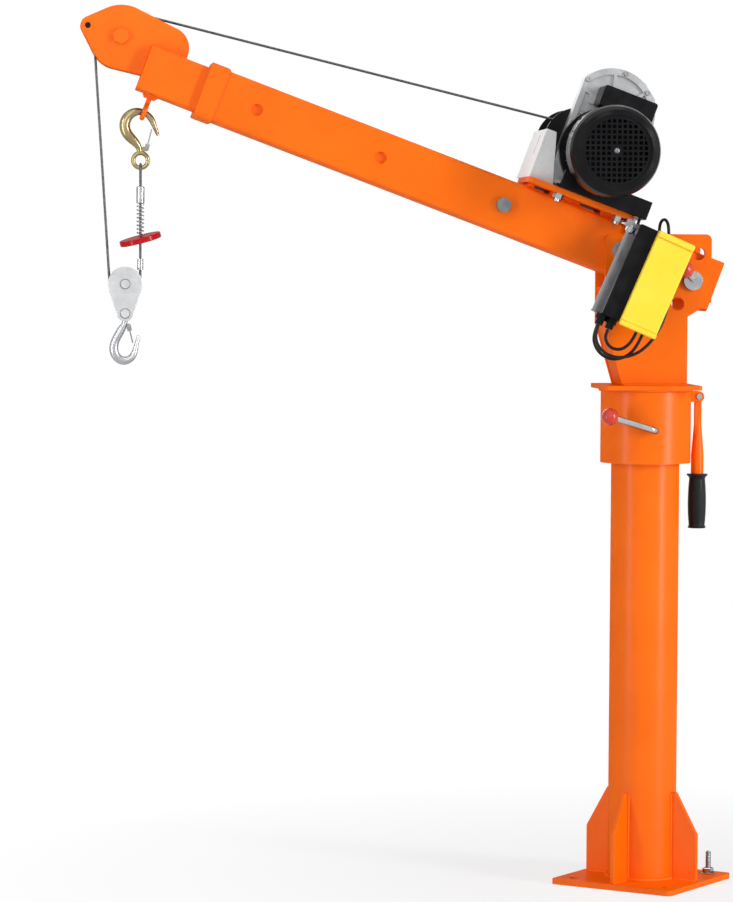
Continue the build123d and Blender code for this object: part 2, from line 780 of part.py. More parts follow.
def rope_end_pieces():
    x = fall_x()
    bar = ANCHOR_RING_Z - ANCHOR_RING_R
    bend = ANCHOR_RING_WIRE + ROPE_R + SEAT
    foot = (0.0, FERRULE_TOP + 2 * SEAT)
    left = tangent_pair(foot, STRAND_Y, (0.0, bar), bend, 1)
    right = tangent_pair(foot, STRAND_Y, (0.0, bar), bend, -1)

    def place(point):
        return (x, point.X, point.Y)

    path = Wire(
        [
            Line(place(left[0]), place(left[1])),
            ThreePointArc(place(left[1]), (x, 0, bar + bend), place(right[1])),
            Line(place(right[1]), place(right[0])),
        ]
    )
    loop = swept(path, ROPE_R)
    ferrule = rod(x, 0, FERRULE_R, FERRULE_BOTTOM, FERRULE_TOP)
    rims = ferrule.edges().filter_by(GeomType.CIRCLE)
    ferrule = fillet(rims, FERRULE_R / 3)
    save(group(loop, rod(x, 0, ROPE_R, SLEEVE_BOTTOM, FERRULE_BOTTOM)), "rope_dead_end")
    sleeve = rod(x, 0, SLEEVE_R, SLEEVE_BOTTOM, SLEEVE_TOP)
    sleeve = sleeve - rod(x, 0, ROPE_R + RUN, SLEEVE_BOTTOM - 1, SLEEVE_TOP + 1)
    save(group(ferrule, sleeve), "rope_crimps")
    disc = rod(0, 0, DISC_R, -DISC_T / 2, DISC_T / 2)
    disc = fillet(disc.edges().filter_by(GeomType.CIRCLE), DISC_EDGE)
    disc = disc - rod(0, 0, DISC_BORE_R, -DISC_T, DISC_T)
    save(Pos(x, 0, DISC_Z) * (Rot(DISC_LEAN, -DISC_TILT, 0) * disc), "limit_disc")
    slope = math.hypot(math.tan(math.radians(DISC_TILT)), math.tan(math.radians(DISC_LEAN)))
    face = DISC_Z + DISC_T / 2 * math.hypot(1, slope)
    rise = (SPRING_R + SPRING_WIRE_R) * slope
    low = face + rise + SPRING_WIRE_R + SEAT
    high = FERRULE_BOTTOM - SPRING_WIRE_R - SEAT
    coil = winding(SPRING_R, (high - low) / SPRING_TURNS, SPRING_TURNS, SPRING_WIRE_R, "spring")
    save(Pos(x, 0, low) * coil, "limit_spring")


def winding(radius, pitch, turns, wire, name):
    """One unbroken tube round +Z, made of half-turn biarcs with straight ends."""

    def spot(angle):
        return Vector(
            radius * math.cos(angle), radius * math.sin(angle), pitch * angle / (2 * math.pi)
        )

    def heading(angle):
        climb = pitch / (2 * math.pi)
        way = Vector(-radius * math.sin(angle), radius * math.cos(angle), climb)
        return way.normalized()

    edges = []
    first = spot(0.0)
    edges.append(Line(first - heading(0.0) * (2 * wire), first))
    for k in range(2 * turns):
        a0 = k * math.pi
        a1 = a0 + math.pi
        p0, t0 = spot(a0), heading(a0)
        p1, t1 = spot(a1), heading(a1)
        gap = p1 - p0
        both = t0 + t1
        bend = 2 * (1 - t0.dot(t1))
        along = gap.dot(both)
        reach = (math.sqrt(along * along + bend * gap.dot(gap)) - along) / bend
        q0 = p0 + t0 * reach
        q1 = p1 - t1 * reach
        middle = (q0 + q1) * 0.5
        edges.append(TangentArc(p0, middle, tangent=t0))
        edges.append(TangentArc(middle, p1, tangent=(q1 - q0).normalized()))
    end = 2 * turns * math.pi
    last = spot(end)
    edges.append(Line(last, last + heading(end) * (2 * wire)))
    path = Wire(edges)
    print(name, "loops", turns, "least gap to itself", round(least_gap(path, turns, wire), 2))
    return swept(path, wire)


def least_gap(path, turns, wire):
    """Least distance between points half a turn or more apart on the line, less the wire."""
    steps = turns * GAP_SAMPLES
    spots = [path @ (k / steps) for k in range(steps + 1)]
    apart = GAP_SAMPLES // 2
    near = min(
        (spots[i] - spots[j]).length for i in range(steps + 1) for j in range(i + apart, steps + 1)
    )
    return near - 2 * wire


def block_pieces():
    outer = BLOCK_IN + BLOCK_CHEEK_T
    right = tangent_pair(
        (BLOCK_X, BLOCK_Z), BLOCK_CHEEK_R, (BLOCK_X, BLOCK_FOOT_Z), BLOCK_FOOT_R, 1
    )
    left = tangent_pair(
        (BLOCK_X, BLOCK_Z), BLOCK_CHEEK_R, (BLOCK_X, BLOCK_FOOT_Z), BLOCK_FOOT_R, -1
    )
    corners = [(v.X, v.Y) for v in (right[0], right[1], left[1], left[0])]
    cheeks = []
    for low in (BLOCK_IN, -outer):
        high = low + BLOCK_CHEEK_T
        cheek = joined(
            rod(BLOCK_X, BLOCK_Z, BLOCK_CHEEK_R, low, high),
            rod(BLOCK_X, BLOCK_FOOT_Z, BLOCK_FOOT_R, low, high),
            prism(corners, low, high),
        )
        for z in (BLOCK_Z, BLOCK_FOOT_Z):
            cheek = cheek - rod(BLOCK_X, z, BLOCK_PIN_R, low - 1, high + 1)
        cheeks.append(cheek)
    save(SIDE * group(*cheeks), "block_cheeks")
    pins = []
    for z in (BLOCK_Z, BLOCK_FOOT_Z):
        pin = rod(BLOCK_X, z, BLOCK_PIN_R, -outer, outer)
        for low in (outer, -outer - BLOCK_PIN_HEAD_T):
            pin = pin + rod(BLOCK_X, z, BLOCK_PIN_HEAD_R, low, low + BLOCK_PIN_HEAD_T)
        pins.append(pin)
    save(SIDE * group(*pins), "block_pins")
    wheel = sheave(
        BLOCK_PITCH_R,
        BLOCK_RIM_R,
        BLOCK_SHEAVE_W,
        BLOCK_HUB_R,
        2 * (BLOCK_IN - SLIDE),
        BLOCK_PIN_R + RUN,
    )
    save(SIDE * (Pos(BLOCK_X, BLOCK_Z, 0) * wheel), "block_sheave")
    eye = rod(BLOCK_X, BLOCK_FOOT_Z, HOOK_EYE_R, -HOOK_EYE_HALF, HOOK_EYE_HALF)
    hook = hook_with_lug(
        HOOK_ROUTE, HOOK_RADII, eye, HOOK_LATCH_PIVOT, HOOK_LATCH_ROOT, LATCH_PIN_R
    )
    bore = rod(BLOCK_X, BLOCK_FOOT_Z, BLOCK_PIN_R + RUN, -HOOK_EYE_R, HOOK_EYE_R)
    save(SIDE * (hook - bore), "load_hook")
    flap = latch(HOOK_LATCH_PIVOT, HOOK_LATCH_TIP, LUG_HALF, LATCH_PIN_R, LATCH_EAR_T, LATCH_T)
    save(SIDE * flap, "load_hook_latch")


def rope_pieces():
    sheave_x, _, sheave_z = boom_point(SHEAVE_S, SHEAVE_N, 0)
    drum_x, _, drum_z = boom_point(DRUM_S, DRUM_N, 0)
    head = (sheave_x, sheave_z)
    low = (BLOCK_X, BLOCK_Z)
    run = tangent_pair((drum_x, drum_z), DRUM_PITCH_R, head, SHEAVE_PITCH_R, -1)
    fall = tangent_pair(head, SHEAVE_PITCH_R, low, BLOCK_PITCH_R, -1)
    spots = [(v.X, 0, v.Y) for v in (run[0], run[1], fall[0], fall[1])]
    print("rope run", round((run[1] - run[0]).length), "live fall", round((fall[1] - fall[0]).length))
    save(tube_between(spots[0], spots[1], ROPE_R), "rope_run")
    crown = (run[2] + fall[2]).normalized() * SHEAVE_PITCH_R
    over = ThreePointArc(spots[1], (sheave_x + crown.X, 0, sheave_z + crown.Y), spots[2])
    save(swept(Wire([over]), ROPE_R), "rope_head_wrap")
    save(tube_between(spots[2], spots[3], ROPE_R), "rope_fall_live")
    bottom = (BLOCK_X, 0, BLOCK_Z - BLOCK_PITCH_R)
    end = (fall_x(), 0, BLOCK_Z)
    save(swept(Wire([ThreePointArc(spots[3], bottom, end)]), ROPE_R), "rope_block_wrap")
    save(rod(fall_x(), 0, ROPE_R, BLOCK_Z, SLEEVE_BOTTOM), "rope_fall_dead")


def lever_pieces():
    path = FilletPolyline(
        (CLAMP_X, CLAMP_IN, CLAMP_Z), (CLAMP_X, CLAMP_OUT, CLAMP_Z), CLAMP_KNOB, radius=CLAMP_BEND_R
    )
    ball = Pos(*CLAMP_KNOB) * Sphere(CLAMP_KNOB_R)
    save(swept(path, CLAMP_R) - ball, "clamp_lever")
    save(ball, "clamp_knob")


def handle_pieces():
    inner = TANG_HALF + SLIDE
    outer = inner + EAR_T
    ears = []
    for low in (inner, -outer):
        ear = rod(HANDLE_X, HANDLE_Z, HANDLE_LUG_R, low, low + EAR_T)
        side = block(
            POST_R, HANDLE_X, HANDLE_Z - HANDLE_LUG_R, HANDLE_Z + HANDLE_LUG_R, low, low + EAR_T
        )
        ear = SIDE * (ear + side) - rod(0, 0, COLLAR_R + WELD, COLLAR_BOTTOM, HEAD_BOTTOM)
        pin_hole = SIDE * rod(HANDLE_X, HANDLE_Z, HANDLE_PIN_R, low - 1, low + EAR_T + 1)
        ears.append(ear - pin_hole)
    save(group(*ears), "handle_lug")
    pin = rod(HANDLE_X, HANDLE_Z, HANDLE_PIN_R, -outer, outer)
    for low in (outer, -outer - HANDLE_PIN_HEAD_T):
        pin = pin + rod(HANDLE_X, HANDLE_Z, HANDLE_PIN_HEAD_R, low, low + HANDLE_PIN_HEAD_T)
    save(SIDE * pin, "handle_pin")
    tang = joined(
        rod(HANDLE_X, HANDLE_Z, HANDLE_EYE_R, -TANG_HALF, TANG_HALF),
        block(
            HANDLE_X - TANG_W / 2,
            HANDLE_X + TANG_W / 2,
            HANDLE_SWELL_Z,
            HANDLE_Z,
            -TANG_HALF,
            TANG_HALF,
        ),
    )
    tang = SIDE * (tang - rod(HANDLE_X, HANDLE_Z, HANDLE_PIN_R + RUN, -outer, outer))
    profile = [
        (0, HANDLE_NECK_Z),
        (TANG_W / 2, HANDLE_NECK_Z),
        (HANDLE_R, HANDLE_SWELL_Z),
        (HANDLE_R, HANDLE_END_Z),
        (GRIP_CORE_R, HANDLE_END_Z),
        (GRIP_CORE_R, GRIP_CORE_END),
        (0, GRIP_CORE_END),
    ]
    face = Plane.XZ * make_face(Polyline(*profile, close=True))
    save(tang + Pos(HANDLE_X, 0, 0) * revolve(face, axis=Axis.Z), "slew_handle")
    middle = (HANDLE_END_Z + GRIP_BOTTOM) / 2
    top = HANDLE_END_Z - SEAT
    low = top - GRIP_FLANGE_T
    neck = (GRIP_END_R, low - GRIP_FLANGE_T)
    heel = (GRIP_END_R, GRIP_BOTTOM + GRIP_FLANGE_T)
    line = Polyline((0, top), (GRIP_FLANGE_R, top), (GRIP_FLANGE_R, low), neck)
    line = line + ThreePointArc(neck, (GRIP_R, middle), heel)
    line = line + Polyline(
        heel,
        (GRIP_R, GRIP_BOTTOM + GRIP_EDGE),
        (GRIP_R - GRIP_EDGE, GRIP_BOTTOM),
        (0, GRIP_BOTTOM),
        (0, top),
    )
    grip = revolve(Plane.XZ * make_face(line), axis=Axis.Z)
    grip = grip - rod(0, 0, GRIP_CORE_R + RUN, GRIP_CORE_END - 1, HANDLE_END_Z)
    save(Pos(HANDLE_X, 0, 0) * grip, "handle_grip")


def saddle_top():
    return SADDLE_LOW + SADDLE_T


def bolt_spots():
    return [(s, y) for s in SADDLE_BOLT_S for y in (-SADDLE_BOLT_Y, SADDLE_BOLT_Y)]


def upright(s, y, radius, low, high):
    """Round bar across the boom, along n."""
    return Pos(s, 0, y) * (Rot(-90, 0, 0) * Pos(0, 0, (low + high) / 2) * Cylinder(radius, high - low))


def upright_hex(s, y, across_flats, low, high):
    bar = hexagon(0, 0, across_flats, low, high)
    return Pos(s, 0, y) * (Rot(-90, 0, 0) * bar)


def saddle_pieces():
    top = saddle_top()
    length = SADDLE_FRONT - SADDLE_BACK
    middle = (SADDLE_FRONT + SADDLE_BACK) / 2
    sheet = Plane.XZ * RectangleRounded(length, 2 * SADDLE_HALF, SADDLE_R)
    plate = Pos(middle, top, 0) * extrude(sheet, amount=SADDLE_T)
    flange_top = top + FLANGE_T
    bolts = []
    nuts = []
    for s, y in bolt_spots():
        plate = plate - upright(s, y, SADDLE_BOLT_R + RUN, SADDLE_LOW - 1, top + 1)
        shank = upright(s, y, SADDLE_BOLT_R, SADDLE_LOW - SADDLE_NUT - SADDLE_BOLT_STUB, flange_top)
        head_end = flange_top + SADDLE_BOLT_HEAD
        bolts.append(shank + upright_hex(s, y, SADDLE_BOLT_AF, flange_top, head_end))
        nut = upright_hex(s, y, SADDLE_BOLT_AF, SADDLE_LOW - SADDLE_NUT, SADDLE_LOW)
        nuts.append(nut - upright(s, y, SADDLE_BOLT_R, SADDLE_LOW - SADDLE_NUT - 1, SADDLE_LOW + 1))
    plate = plate - upright(
        BRACKET_BOLT_S, BRACKET_BOLT_Y, BRACKET_BOLT_R + RUN, SADDLE_LOW - 1, top + 1
    )
    save(BOOM * plate, "hoist_saddle")
    low = SADDLE_LOW - BRACKET_T
    screw = upright(BRACKET_BOLT_S, BRACKET_BOLT_Y, BRACKET_BOLT_R, low, top - SEAT)
    bolts.append(
        screw
        + upright_hex(
            BRACKET_BOLT_S, BRACKET_BOLT_Y, BRACKET_BOLT_AF, low - BRACKET_BOLT_HEAD, low
        )
    )
    save(BOOM * group(*bolts, *nuts), "saddle_bolts")
    half = BOOM_W / 2
    risers = [block(a, b, half, SADDLE_LOW, -RISER_HALF, RISER_HALF) for a, b in RISERS]
    save(BOOM * group(*risers), "saddle_risers")


def hoist_base():
    low = saddle_top()
    foot = block(BASE_BACK, FLANGE_FRONT, low, low + FLANGE_T, HOIST_BASE_NEAR, SADDLE_HALF)
    for s, y in bolt_spots():
        foot = foot - upright(s, y, SADDLE_BOLT_R + RUN, low - 1, low + FLANGE_T + 1)
    tower = block(BASE_BACK, BASE_FRONT, low, HOIST_BASE_TOP, HOIST_BASE_NEAR, -SADDLE_HALF)
    cradle = rod(MOTOR_S, MOTOR_N, FIN_R + SEAT, HOIST_BASE_NEAR - 1, SADDLE_HALF)
    base = joined(foot, tower) - cradle
    save(BOOM * base, "hoist_base")


def motor_pieces():
    core = rod(MOTOR_S, MOTOR_N, MOTOR_R, MOTOR_FRONT, MOTOR_BACK)
    fins = []
    for k in range(FINS):
        fin = block(MOTOR_R - 1, FIN_R, -FIN_T / 2, FIN_T / 2, MOTOR_FRONT + SHIELD_T, MOTOR_BACK)
        fins.append(Pos(MOTOR_S, MOTOR_N, 0) * (Rot(0, 0, 360.0 * (k + 0.5) / FINS) * fin))
    shield = rod(MOTOR_S, MOTOR_N, SHIELD_R, MOTOR_FRONT, MOTOR_FRONT + SHIELD_T)
    hollow = rod(MOTOR_S, MOTOR_N, MOTOR_BORE_R, MOTOR_FRONT + SHIELD_T, MOTOR_BACK - SHIELD_T)
    flange_front = MOTOR_BACK - MOTOR_FLANGE_T
    flange = rod(MOTOR_S, MOTOR_N, MOTOR_FLANGE_R, flange_front, MOTOR_BACK)
    flange = flange - block(
        MOTOR_S - MOTOR_FLANGE_R,
        MOTOR_S + MOTOR_FLANGE_R,
        MOTOR_N + FIN_R,
        MOTOR_N + MOTOR_FLANGE_R,
        flange_front,
        MOTOR_BACK,
    )
    body = joined(core, shield, flange, *fins) - hollow
    body = body - rod(MOTOR_S, MOTOR_N, SHAFT_R + RUN, MOTOR_FRONT - 1, MOTOR_BACK + 1)
    save(BOOM * body, "motor_body")
    save(BOOM * rod(MOTOR_S, MOTOR_N, SHAFT_R, SHAFT_FRONT, MOTOR_BACK), "motor_shaft")
    hub = rod(0, 0, FAN_HUB_R, FAN_FRONT, FAN_BACK)
    disc = rod(0, 0, FAN_R, FAN_BACK - FAN_BLADE_T, FAN_BACK)
    blades = []
    for k in range(FAN_BLADES):
        blade = block(
            FAN_HUB_R - 1, FAN_R, -FAN_BLADE_T / 2, FAN_BLADE_T / 2, FAN_FRONT, FAN_BACK - 1
        )
        blades.append(Rot(0, 0, 360.0 * k / FAN_BLADES) * blade)
    fan = joined(hub, disc, *blades) - rod(0, 0, SHAFT_R + RUN / 2, FAN_FRONT - 1, FAN_BACK + 1)
    save(BOOM * (Pos(MOTOR_S, MOTOR_N, 0) * fan), "cooling_fan")


def grille():
    """Square holes on a grid that straddles the centre, cut off at a round margin."""
    disc = Circle(GRILLE_R + 1)
    steps = int(GRILLE_REACH / GRILLE_PITCH) + 1
    centres = [(i + 0.5) * GRILLE_PITCH for i in range(-steps, steps)]
    corner = GRILLE_HOLE / 2
    holes = []
    for x in centres:
        for y in centres:
            near = math.hypot(abs(x) - corner, abs(y) - corner)
            if near < GRILLE_REACH - GRILLE_SLIVER and math.hypot(x, y) > GRILLE_BOSS_R:
                holes.append(Pos(x, y) * Rectangle(GRILLE_HOLE, GRILLE_HOLE))
    print("grille holes", len(holes))
    margin = disc - Circle(GRILLE_REACH)
    return Rot(0, 0, -RAKE) * (disc - holes + margin)


def fan_cover():
    inner = COVER_R - COVER_WALL
    profile = [
        (COVER_R, COVER_BACK),
        (COVER_R, COVER_SHOULDER),
        (COVER_R - COVER_WALL, COVER_SHOULDER - 3 * COVER_WALL),
        (COVER_R - 3 * COVER_WALL, COVER_SHOULDER - 5 * COVER_WALL),
        (GRILLE_R + GRILLE_RIM, COVER_FRONT),
        (GRILLE_R, COVER_FRONT),
        (GRILLE_R, COVER_FRONT + GRILLE_INSET + GRILLE_T),
        (COVER_R - 4 * COVER_WALL, COVER_SHOULDER - 4 * COVER_WALL),
        (COVER_R - 2 * COVER_WALL, COVER_SHOULDER - 2 * COVER_WALL),
        (inner, COVER_SHOULDER),
        (inner, COVER_BACK),
    ]
    shell = revolve(Plane.XZ * make_face(Polyline(*profile, close=True)), axis=Axis.Z)
    face = extrude(grille(), amount=GRILLE_T, dir=(0, 0, 1))
    face = Pos(0, 0, COVER_FRONT + GRILLE_INSET) * face
    boss_front = COVER_FRONT + GRILLE_SCREW_SET
    boss = rod(0, 0, GRILLE_SCREW_R, boss_front, COVER_FRONT + GRILLE_INSET + GRILLE_T)
    save(BOOM * (Pos(MOTOR_S, MOTOR_N, 0) * joined(shell, face, boss)), "fan_cover")


def gear_housing():
    low = saddle_top() + FLANGE_T
    arch = rod(ARCH_S, ARCH_N, ARCH_R, GEAR_FRONT, GEAR_BACK)
    arch = arch - block(GEAR_LEFT, GEAR_LEFT + ARCH_R, low, ARCH_N + ARCH_R, GEAR_FRONT, GEAR_BACK)
    column = block(GEAR_RIGHT, GEAR_LEFT, low, ARCH_N, GEAR_FRONT, GEAR_BACK)
    lug = prism(GEAR_LUG, GEAR_FRONT, GEAR_BACK)
    case = joined(arch, column, lug)
    recess = rod(ARCH_S, ARCH_N, ARCH_RECESS_R, GEAR_FRONT - 1, GEAR_FRONT + ARCH_RECESS)
    rim = GEAR_LEFT - GEAR_RIM
    recess = recess - block(rim, GEAR_LEFT + 1, low, ARCH_N + ARCH_R, GEAR_FRONT - 1, GEAR_BACK)
    ribs = []
    for turn in GEAR_RIB_TURNS:
        rib = block(0, ARCH_RECESS_R + 1, -GEAR_RIB_T / 2, GEAR_RIB_T / 2, GEAR_FRONT - 1, 0)
        ribs.append(Pos(ARCH_S, ARCH_N, 0) * (Rot(0, 0, turn) * rib))
    boss = rod(GEAR_BOSS[0], GEAR_BOSS[1], GEAR_BOSS_R, GEAR_FRONT - 1, GEAR_FRONT + ARCH_RECESS)
    case = case - (recess - joined(boss, *ribs))
    case = case - rod(DRUM_S, DRUM_N, DRUM_SHAFT_R + RUN, DRUM_SHAFT_NEAR - 1, GEAR_BACK + 1)
    save(BOOM * case, "gear_housing")


def capacitor():
    seat = MOTOR_N + FIN_R + SEAT
    case = block(CAP_BACK, CAP_FRONT, seat, CAP_TOP, CAP_DEEP, GEAR_FRONT - SEAT)
    case = fillet(case.edges().filter_by(Axis.Z), CAP_R)
    save(BOOM * case, "capacitor_box")


def drum_pieces():
    core_r = DRUM_PITCH_R - ROPE_R - SEAT
    drum = joined(
        rod(DRUM_S, DRUM_N, DRUM_SHAFT_R, DRUM_SHAFT_NEAR, DRUM_SHAFT_FAR),
        rod(DRUM_S, DRUM_N, core_r, DRUM_NEAR, DRUM_FAR),
        rod(DRUM_S, DRUM_N, DRUM_FLANGE_R, DRUM_NEAR, DRUM_NEAR + DRUM_FLANGE_T),
        rod(DRUM_S, DRUM_N, DRUM_FLANGE_R, DRUM_FAR - DRUM_FLANGE_T, DRUM_FAR),
    )
    save(BOOM * drum, "rope_drum")
    turns = winding(DRUM_PITCH_R, WIND_PITCH, WIND_LOOPS, ROPE_R, "drum winding")
    save(BOOM * (Pos(DRUM_S, DRUM_N, WIND_START) * turns), "drum_winding")


def drum_guard():
    low = saddle_top()
    foot = low + FLANGE_T + SEAT
    inner = GUARD_FACE - GUARD_T
    front = block(inner, GUARD_FACE, low, GUARD_TOP, GUARD_NEAR, GUARD_FAR + GUARD_T)
    slot = block(
        inner - 1,
        GUARD_FACE + 1,
        GUARD_SLOT_LOW,
        GUARD_SLOT_HIGH,
        -GUARD_SLOT_W / 2,
        GUARD_SLOT_W / 2,
    )
    cheek = [
        (GUARD_FOOT_BACK, low),
        (GUARD_FACE, low),
        (GUARD_FACE, GUARD_TOP),
        (GUARD_TOP_BACK, GUARD_TOP),
    ]
    near = prism(cheek, GUARD_NEAR, GUARD_NEAR + GUARD_T)
    stay = [
        (DRUM_S - BEARING_R, foot),
        (inner, foot),
        (inner, GUARD_TOP),
        (DRUM_S + BEARING_R, DRUM_N),
        (DRUM_S - BEARING_R, DRUM_N),
    ]
    far = prism(stay, GUARD_FAR, GUARD_FAR + GUARD_T)
    far = far + rod(DRUM_S, DRUM_N, BEARING_R, GUARD_FAR, GUARD_FAR + GUARD_T)
    bore = rod(DRUM_S, DRUM_N, DRUM_SHAFT_R + RUN, GUARD_FAR - 1, DRUM_SHAFT_FAR + 1)
    save(BOOM * (joined(front, near, far) - slot - bore), "drum_guard")


BOX = Pos(BOX_AT[0], BOX_AT[1], 0) * Rot(0, 0, BOX_TURN)


def control_pieces():
    case = block(-BOX_W, 0, -BOX_H, 0, BOX_FRONT, BOX_BACK)
    case = fillet(case.edges().filter_by(Axis.Z), BOX_R)
    save(BOOM * (BOX * case), "control_box")
    cover = block(COVER_RIGHT, COVER_LEFT, COVER_BOTTOM, COVER_TOP, COVER_FACE, BOX_FRONT)
    cover = cover + block(COVER_RIGHT, COVER_LEFT, COVER_TOP - LIP_TOP, COVER_TOP, LIP_OUT, BOX_FRONT)
    low_lip = block(
        COVER_RIGHT, COVER_LEFT, COVER_BOTTOM, COVER_BOTTOM + LIP_BOTTOM, LIP_OUT, BOX_FRONT
    )
    save(BOOM * (BOX * (cover + low_lip)), "control_cover")
    web = BOX * block(
        BRACKET_RIGHT, BRACKET_LEFT, -BOX_H, 0, BOX_BACK, BOX_BACK + BRACKET_T
    )
    foot = BOX * block(
        0, BRACKET_LEFT, -BOX_H, -BOX_H + BRACKET_T, BOX_BACK, BOX_BACK + BRACKET_FOOT
    )
    riser = block(
        BRACKET_FLANGE[0],
        BRACKET_FLANGE[1],
        BOX_AT[1] - BRACKET_FOOT,
        SADDLE_LOW,
        BOX_BACK,
        BOX_BACK + BRACKET_T,
    )
    flange = block(
        BRACKET_FLANGE[0],
        BRACKET_FLANGE[1],
        SADDLE_LOW - BRACKET_T,
        SADDLE_LOW,
        BOX_BACK,
        BRACKET_FLANGE_Y,
    )
    low = SADDLE_LOW - BRACKET_T
    hole = upright(BRACKET_BOLT_S, BRACKET_BOLT_Y, BRACKET_BOLT_R + RUN, low - 1, SADDLE_LOW + 1)
    save(BOOM * (joined(web, foot, riser, flange) - hole), "control_bracket")
    glands = []
    for x in GLAND_X:
        collar = upright_hex(x, GLAND_Y, 2 * GLAND_R - 1, -BOX_H - GLAND_L / 2, -BOX_H)
        nose = upright(x, GLAND_Y, GLAND_R - 2, -BOX_H - GLAND_L, -BOX_H - GLAND_L / 2)
        glands.append(BOX * (collar + nose))
    save(BOOM * group(*glands), "cable_glands")


def cord_radii(points):
    radii = []
    for a, b, c in zip(points, points[1:], points[2:]):
        back = Vector(*b) - Vector(*a)
        on = Vector(*c) - Vector(*b)
        turn = math.radians(back.get_angle(on))
        radii.append(0.45 * min(back.length, on.length) / math.tan(turn / 2))
    return radii


def cord(points, name):
    radii = cord_radii(points)
    path = FilletPolyline(*points, radius=radii)
    tube = swept(path, CABLE_R)
    true = math.pi * CABLE_R**2 * path.length
    print(name, "radii", [round(r) for r in radii], "length", round(path.length),
          "volume ratio", round(tube.volume / true, 4))
    return tube


def box_point(x, y, depth):
    spot = BOOM * (BOX * Pos(x, y, depth))
    return spot.position


def jumper(x, depth, runs):
    """Loop from a gland's mouth round to the box's underside, in the box's frame."""
    y = -BOX_H - GLAND_L - 2 * SEAT
    points = [(x, y)]
    for turn, run in zip(JUMPER_TURNS, runs):
        angle = math.radians(turn)
        x += run * math.cos(angle)
        y += run * math.sin(angle)
        points.append((x, y))
    points.append((x, -BOX_H - 2 * SEAT))
    return [tuple(box_point(x, y, depth)) for x, y in points]


def cable_pieces():
    depths = (GLAND_Y, GLAND_Y + CABLE_SPLIT)
    jumpers = []
    for x, depth, runs in zip(reversed(GLAND_X), depths, JUMPER_RUNS):
        jumpers.append(cord(jumper(x, depth, runs), "jumper"))
    save(group(*jumpers), "cable_jumpers")
    mouth = -BOX_H - GLAND_L - 2 * SEAT
    depth = GLAND_Y - CABLE_SPLIT
    route = [tuple(box_point(GLAND_X[0], mouth - lead, depth)) for lead in (0.0, GLAND_LEAD)]
    route += [tuple(box_point(x, y - BOX_H, depth)) for x, y, depth in FEED_LOOP]
    route += list(FEED_ROUTE)
    entry = Vector(*boom_point(FEED_ENTRY_S, saddle_top() - SEAT, FEED_ENTRY_Y))
    route += [tuple(entry - Vector(SIN, 0, COS) * FEED_LEAD), tuple(entry)]
    save(cord(route, "feed"), "cable_feed")


def main():
    os.makedirs("parts", exist_ok=True)
    base_pieces()
    swivel_pieces()
    yoke_pieces()
    luff_pin_pieces()
    boom_pieces()
    head_pieces()
    anchor_hook_pieces()
    rope_end_pieces()
    block_pieces()
    rope_pieces()
    lever_pieces()
    handle_pieces()
    saddle_pieces()
    hoist_base()
    motor_pieces()
    fan_cover()
    gear_housing()
    capacitor()
    drum_pieces()
    drum_guard()
    control_pieces()
    cable_pieces()


main()
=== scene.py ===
import json
import math

import bpy
from mathutils import Matrix, Vector

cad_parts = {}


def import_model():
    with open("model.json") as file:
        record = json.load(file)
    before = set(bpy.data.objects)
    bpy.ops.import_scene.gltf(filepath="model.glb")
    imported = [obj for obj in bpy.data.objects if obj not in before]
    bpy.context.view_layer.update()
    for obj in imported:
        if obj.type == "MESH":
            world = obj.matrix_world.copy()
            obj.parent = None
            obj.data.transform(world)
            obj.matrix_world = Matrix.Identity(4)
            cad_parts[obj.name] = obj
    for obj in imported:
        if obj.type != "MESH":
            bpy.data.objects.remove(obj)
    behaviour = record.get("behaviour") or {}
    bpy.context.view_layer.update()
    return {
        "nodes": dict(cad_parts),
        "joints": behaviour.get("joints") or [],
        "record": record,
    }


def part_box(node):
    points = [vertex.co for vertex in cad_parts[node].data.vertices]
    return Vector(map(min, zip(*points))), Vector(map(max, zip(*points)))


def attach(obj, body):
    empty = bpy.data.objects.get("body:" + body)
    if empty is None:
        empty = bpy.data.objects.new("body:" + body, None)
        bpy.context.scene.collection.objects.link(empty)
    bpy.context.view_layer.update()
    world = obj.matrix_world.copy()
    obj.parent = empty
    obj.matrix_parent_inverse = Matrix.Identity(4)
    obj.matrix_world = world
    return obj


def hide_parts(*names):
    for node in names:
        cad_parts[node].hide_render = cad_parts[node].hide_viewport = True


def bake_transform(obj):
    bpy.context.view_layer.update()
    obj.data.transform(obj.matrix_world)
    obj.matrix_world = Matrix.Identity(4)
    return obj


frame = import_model()

RIGHT = Vector((1, 0, 0))
FAR = Vector((0, 1, 0))
NEAR = -FAR
UP = Vector((0, 0, 1))
BOTH_SIDES = ((-1, "near"), (1, "far"))
QUARTER = math.pi / 2
FULL_TURN = 2 * math.pi

JOINTS = {joint["name"]: joint for joint in frame["joints"]}
MOUNTS = {mount["name"]: mount for mount in frame["record"]["mounts"]}


def joint_at(name):
    return Vector(JOINTS[name]["pos_m"])


# boom frame: s along the boom from its pivot, n across it, y to the far side
PIVOT = joint_at("boom_luff")
ALONG = Vector(JOINTS["boom_extend"]["axis"])
ACROSS = FAR.cross(ALONG)
RAKE = math.atan2(ALONG.z, -ALONG.x)


def boom(s, n, y):
    return PIVOT + ALONG * s + ACROSS * n + FAR * y


def at_depth(point, y):
    """The same place in the side view, nearer or farther."""
    return Vector((point.x, y, point.z))


# base and post
POST_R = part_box("post")[1].x
PLATE_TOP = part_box("base_plate")[1].z
BASE_TURN = math.radians(-38)
ANCHOR_R = MOUNTS["base_bolts"]["dims"]["pcd_mm"] / 2000
GUSSETS = 4
GUSSET_HALF = 0.004
GUSSET_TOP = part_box("gussets")[1].z

# boom, from the axis to its faces
OUTER_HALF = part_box("boom_outer_tube")[1].y
INNER_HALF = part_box("boom_inner_tube")[1].y
CHEEK_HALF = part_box("head_cheeks")[1].y

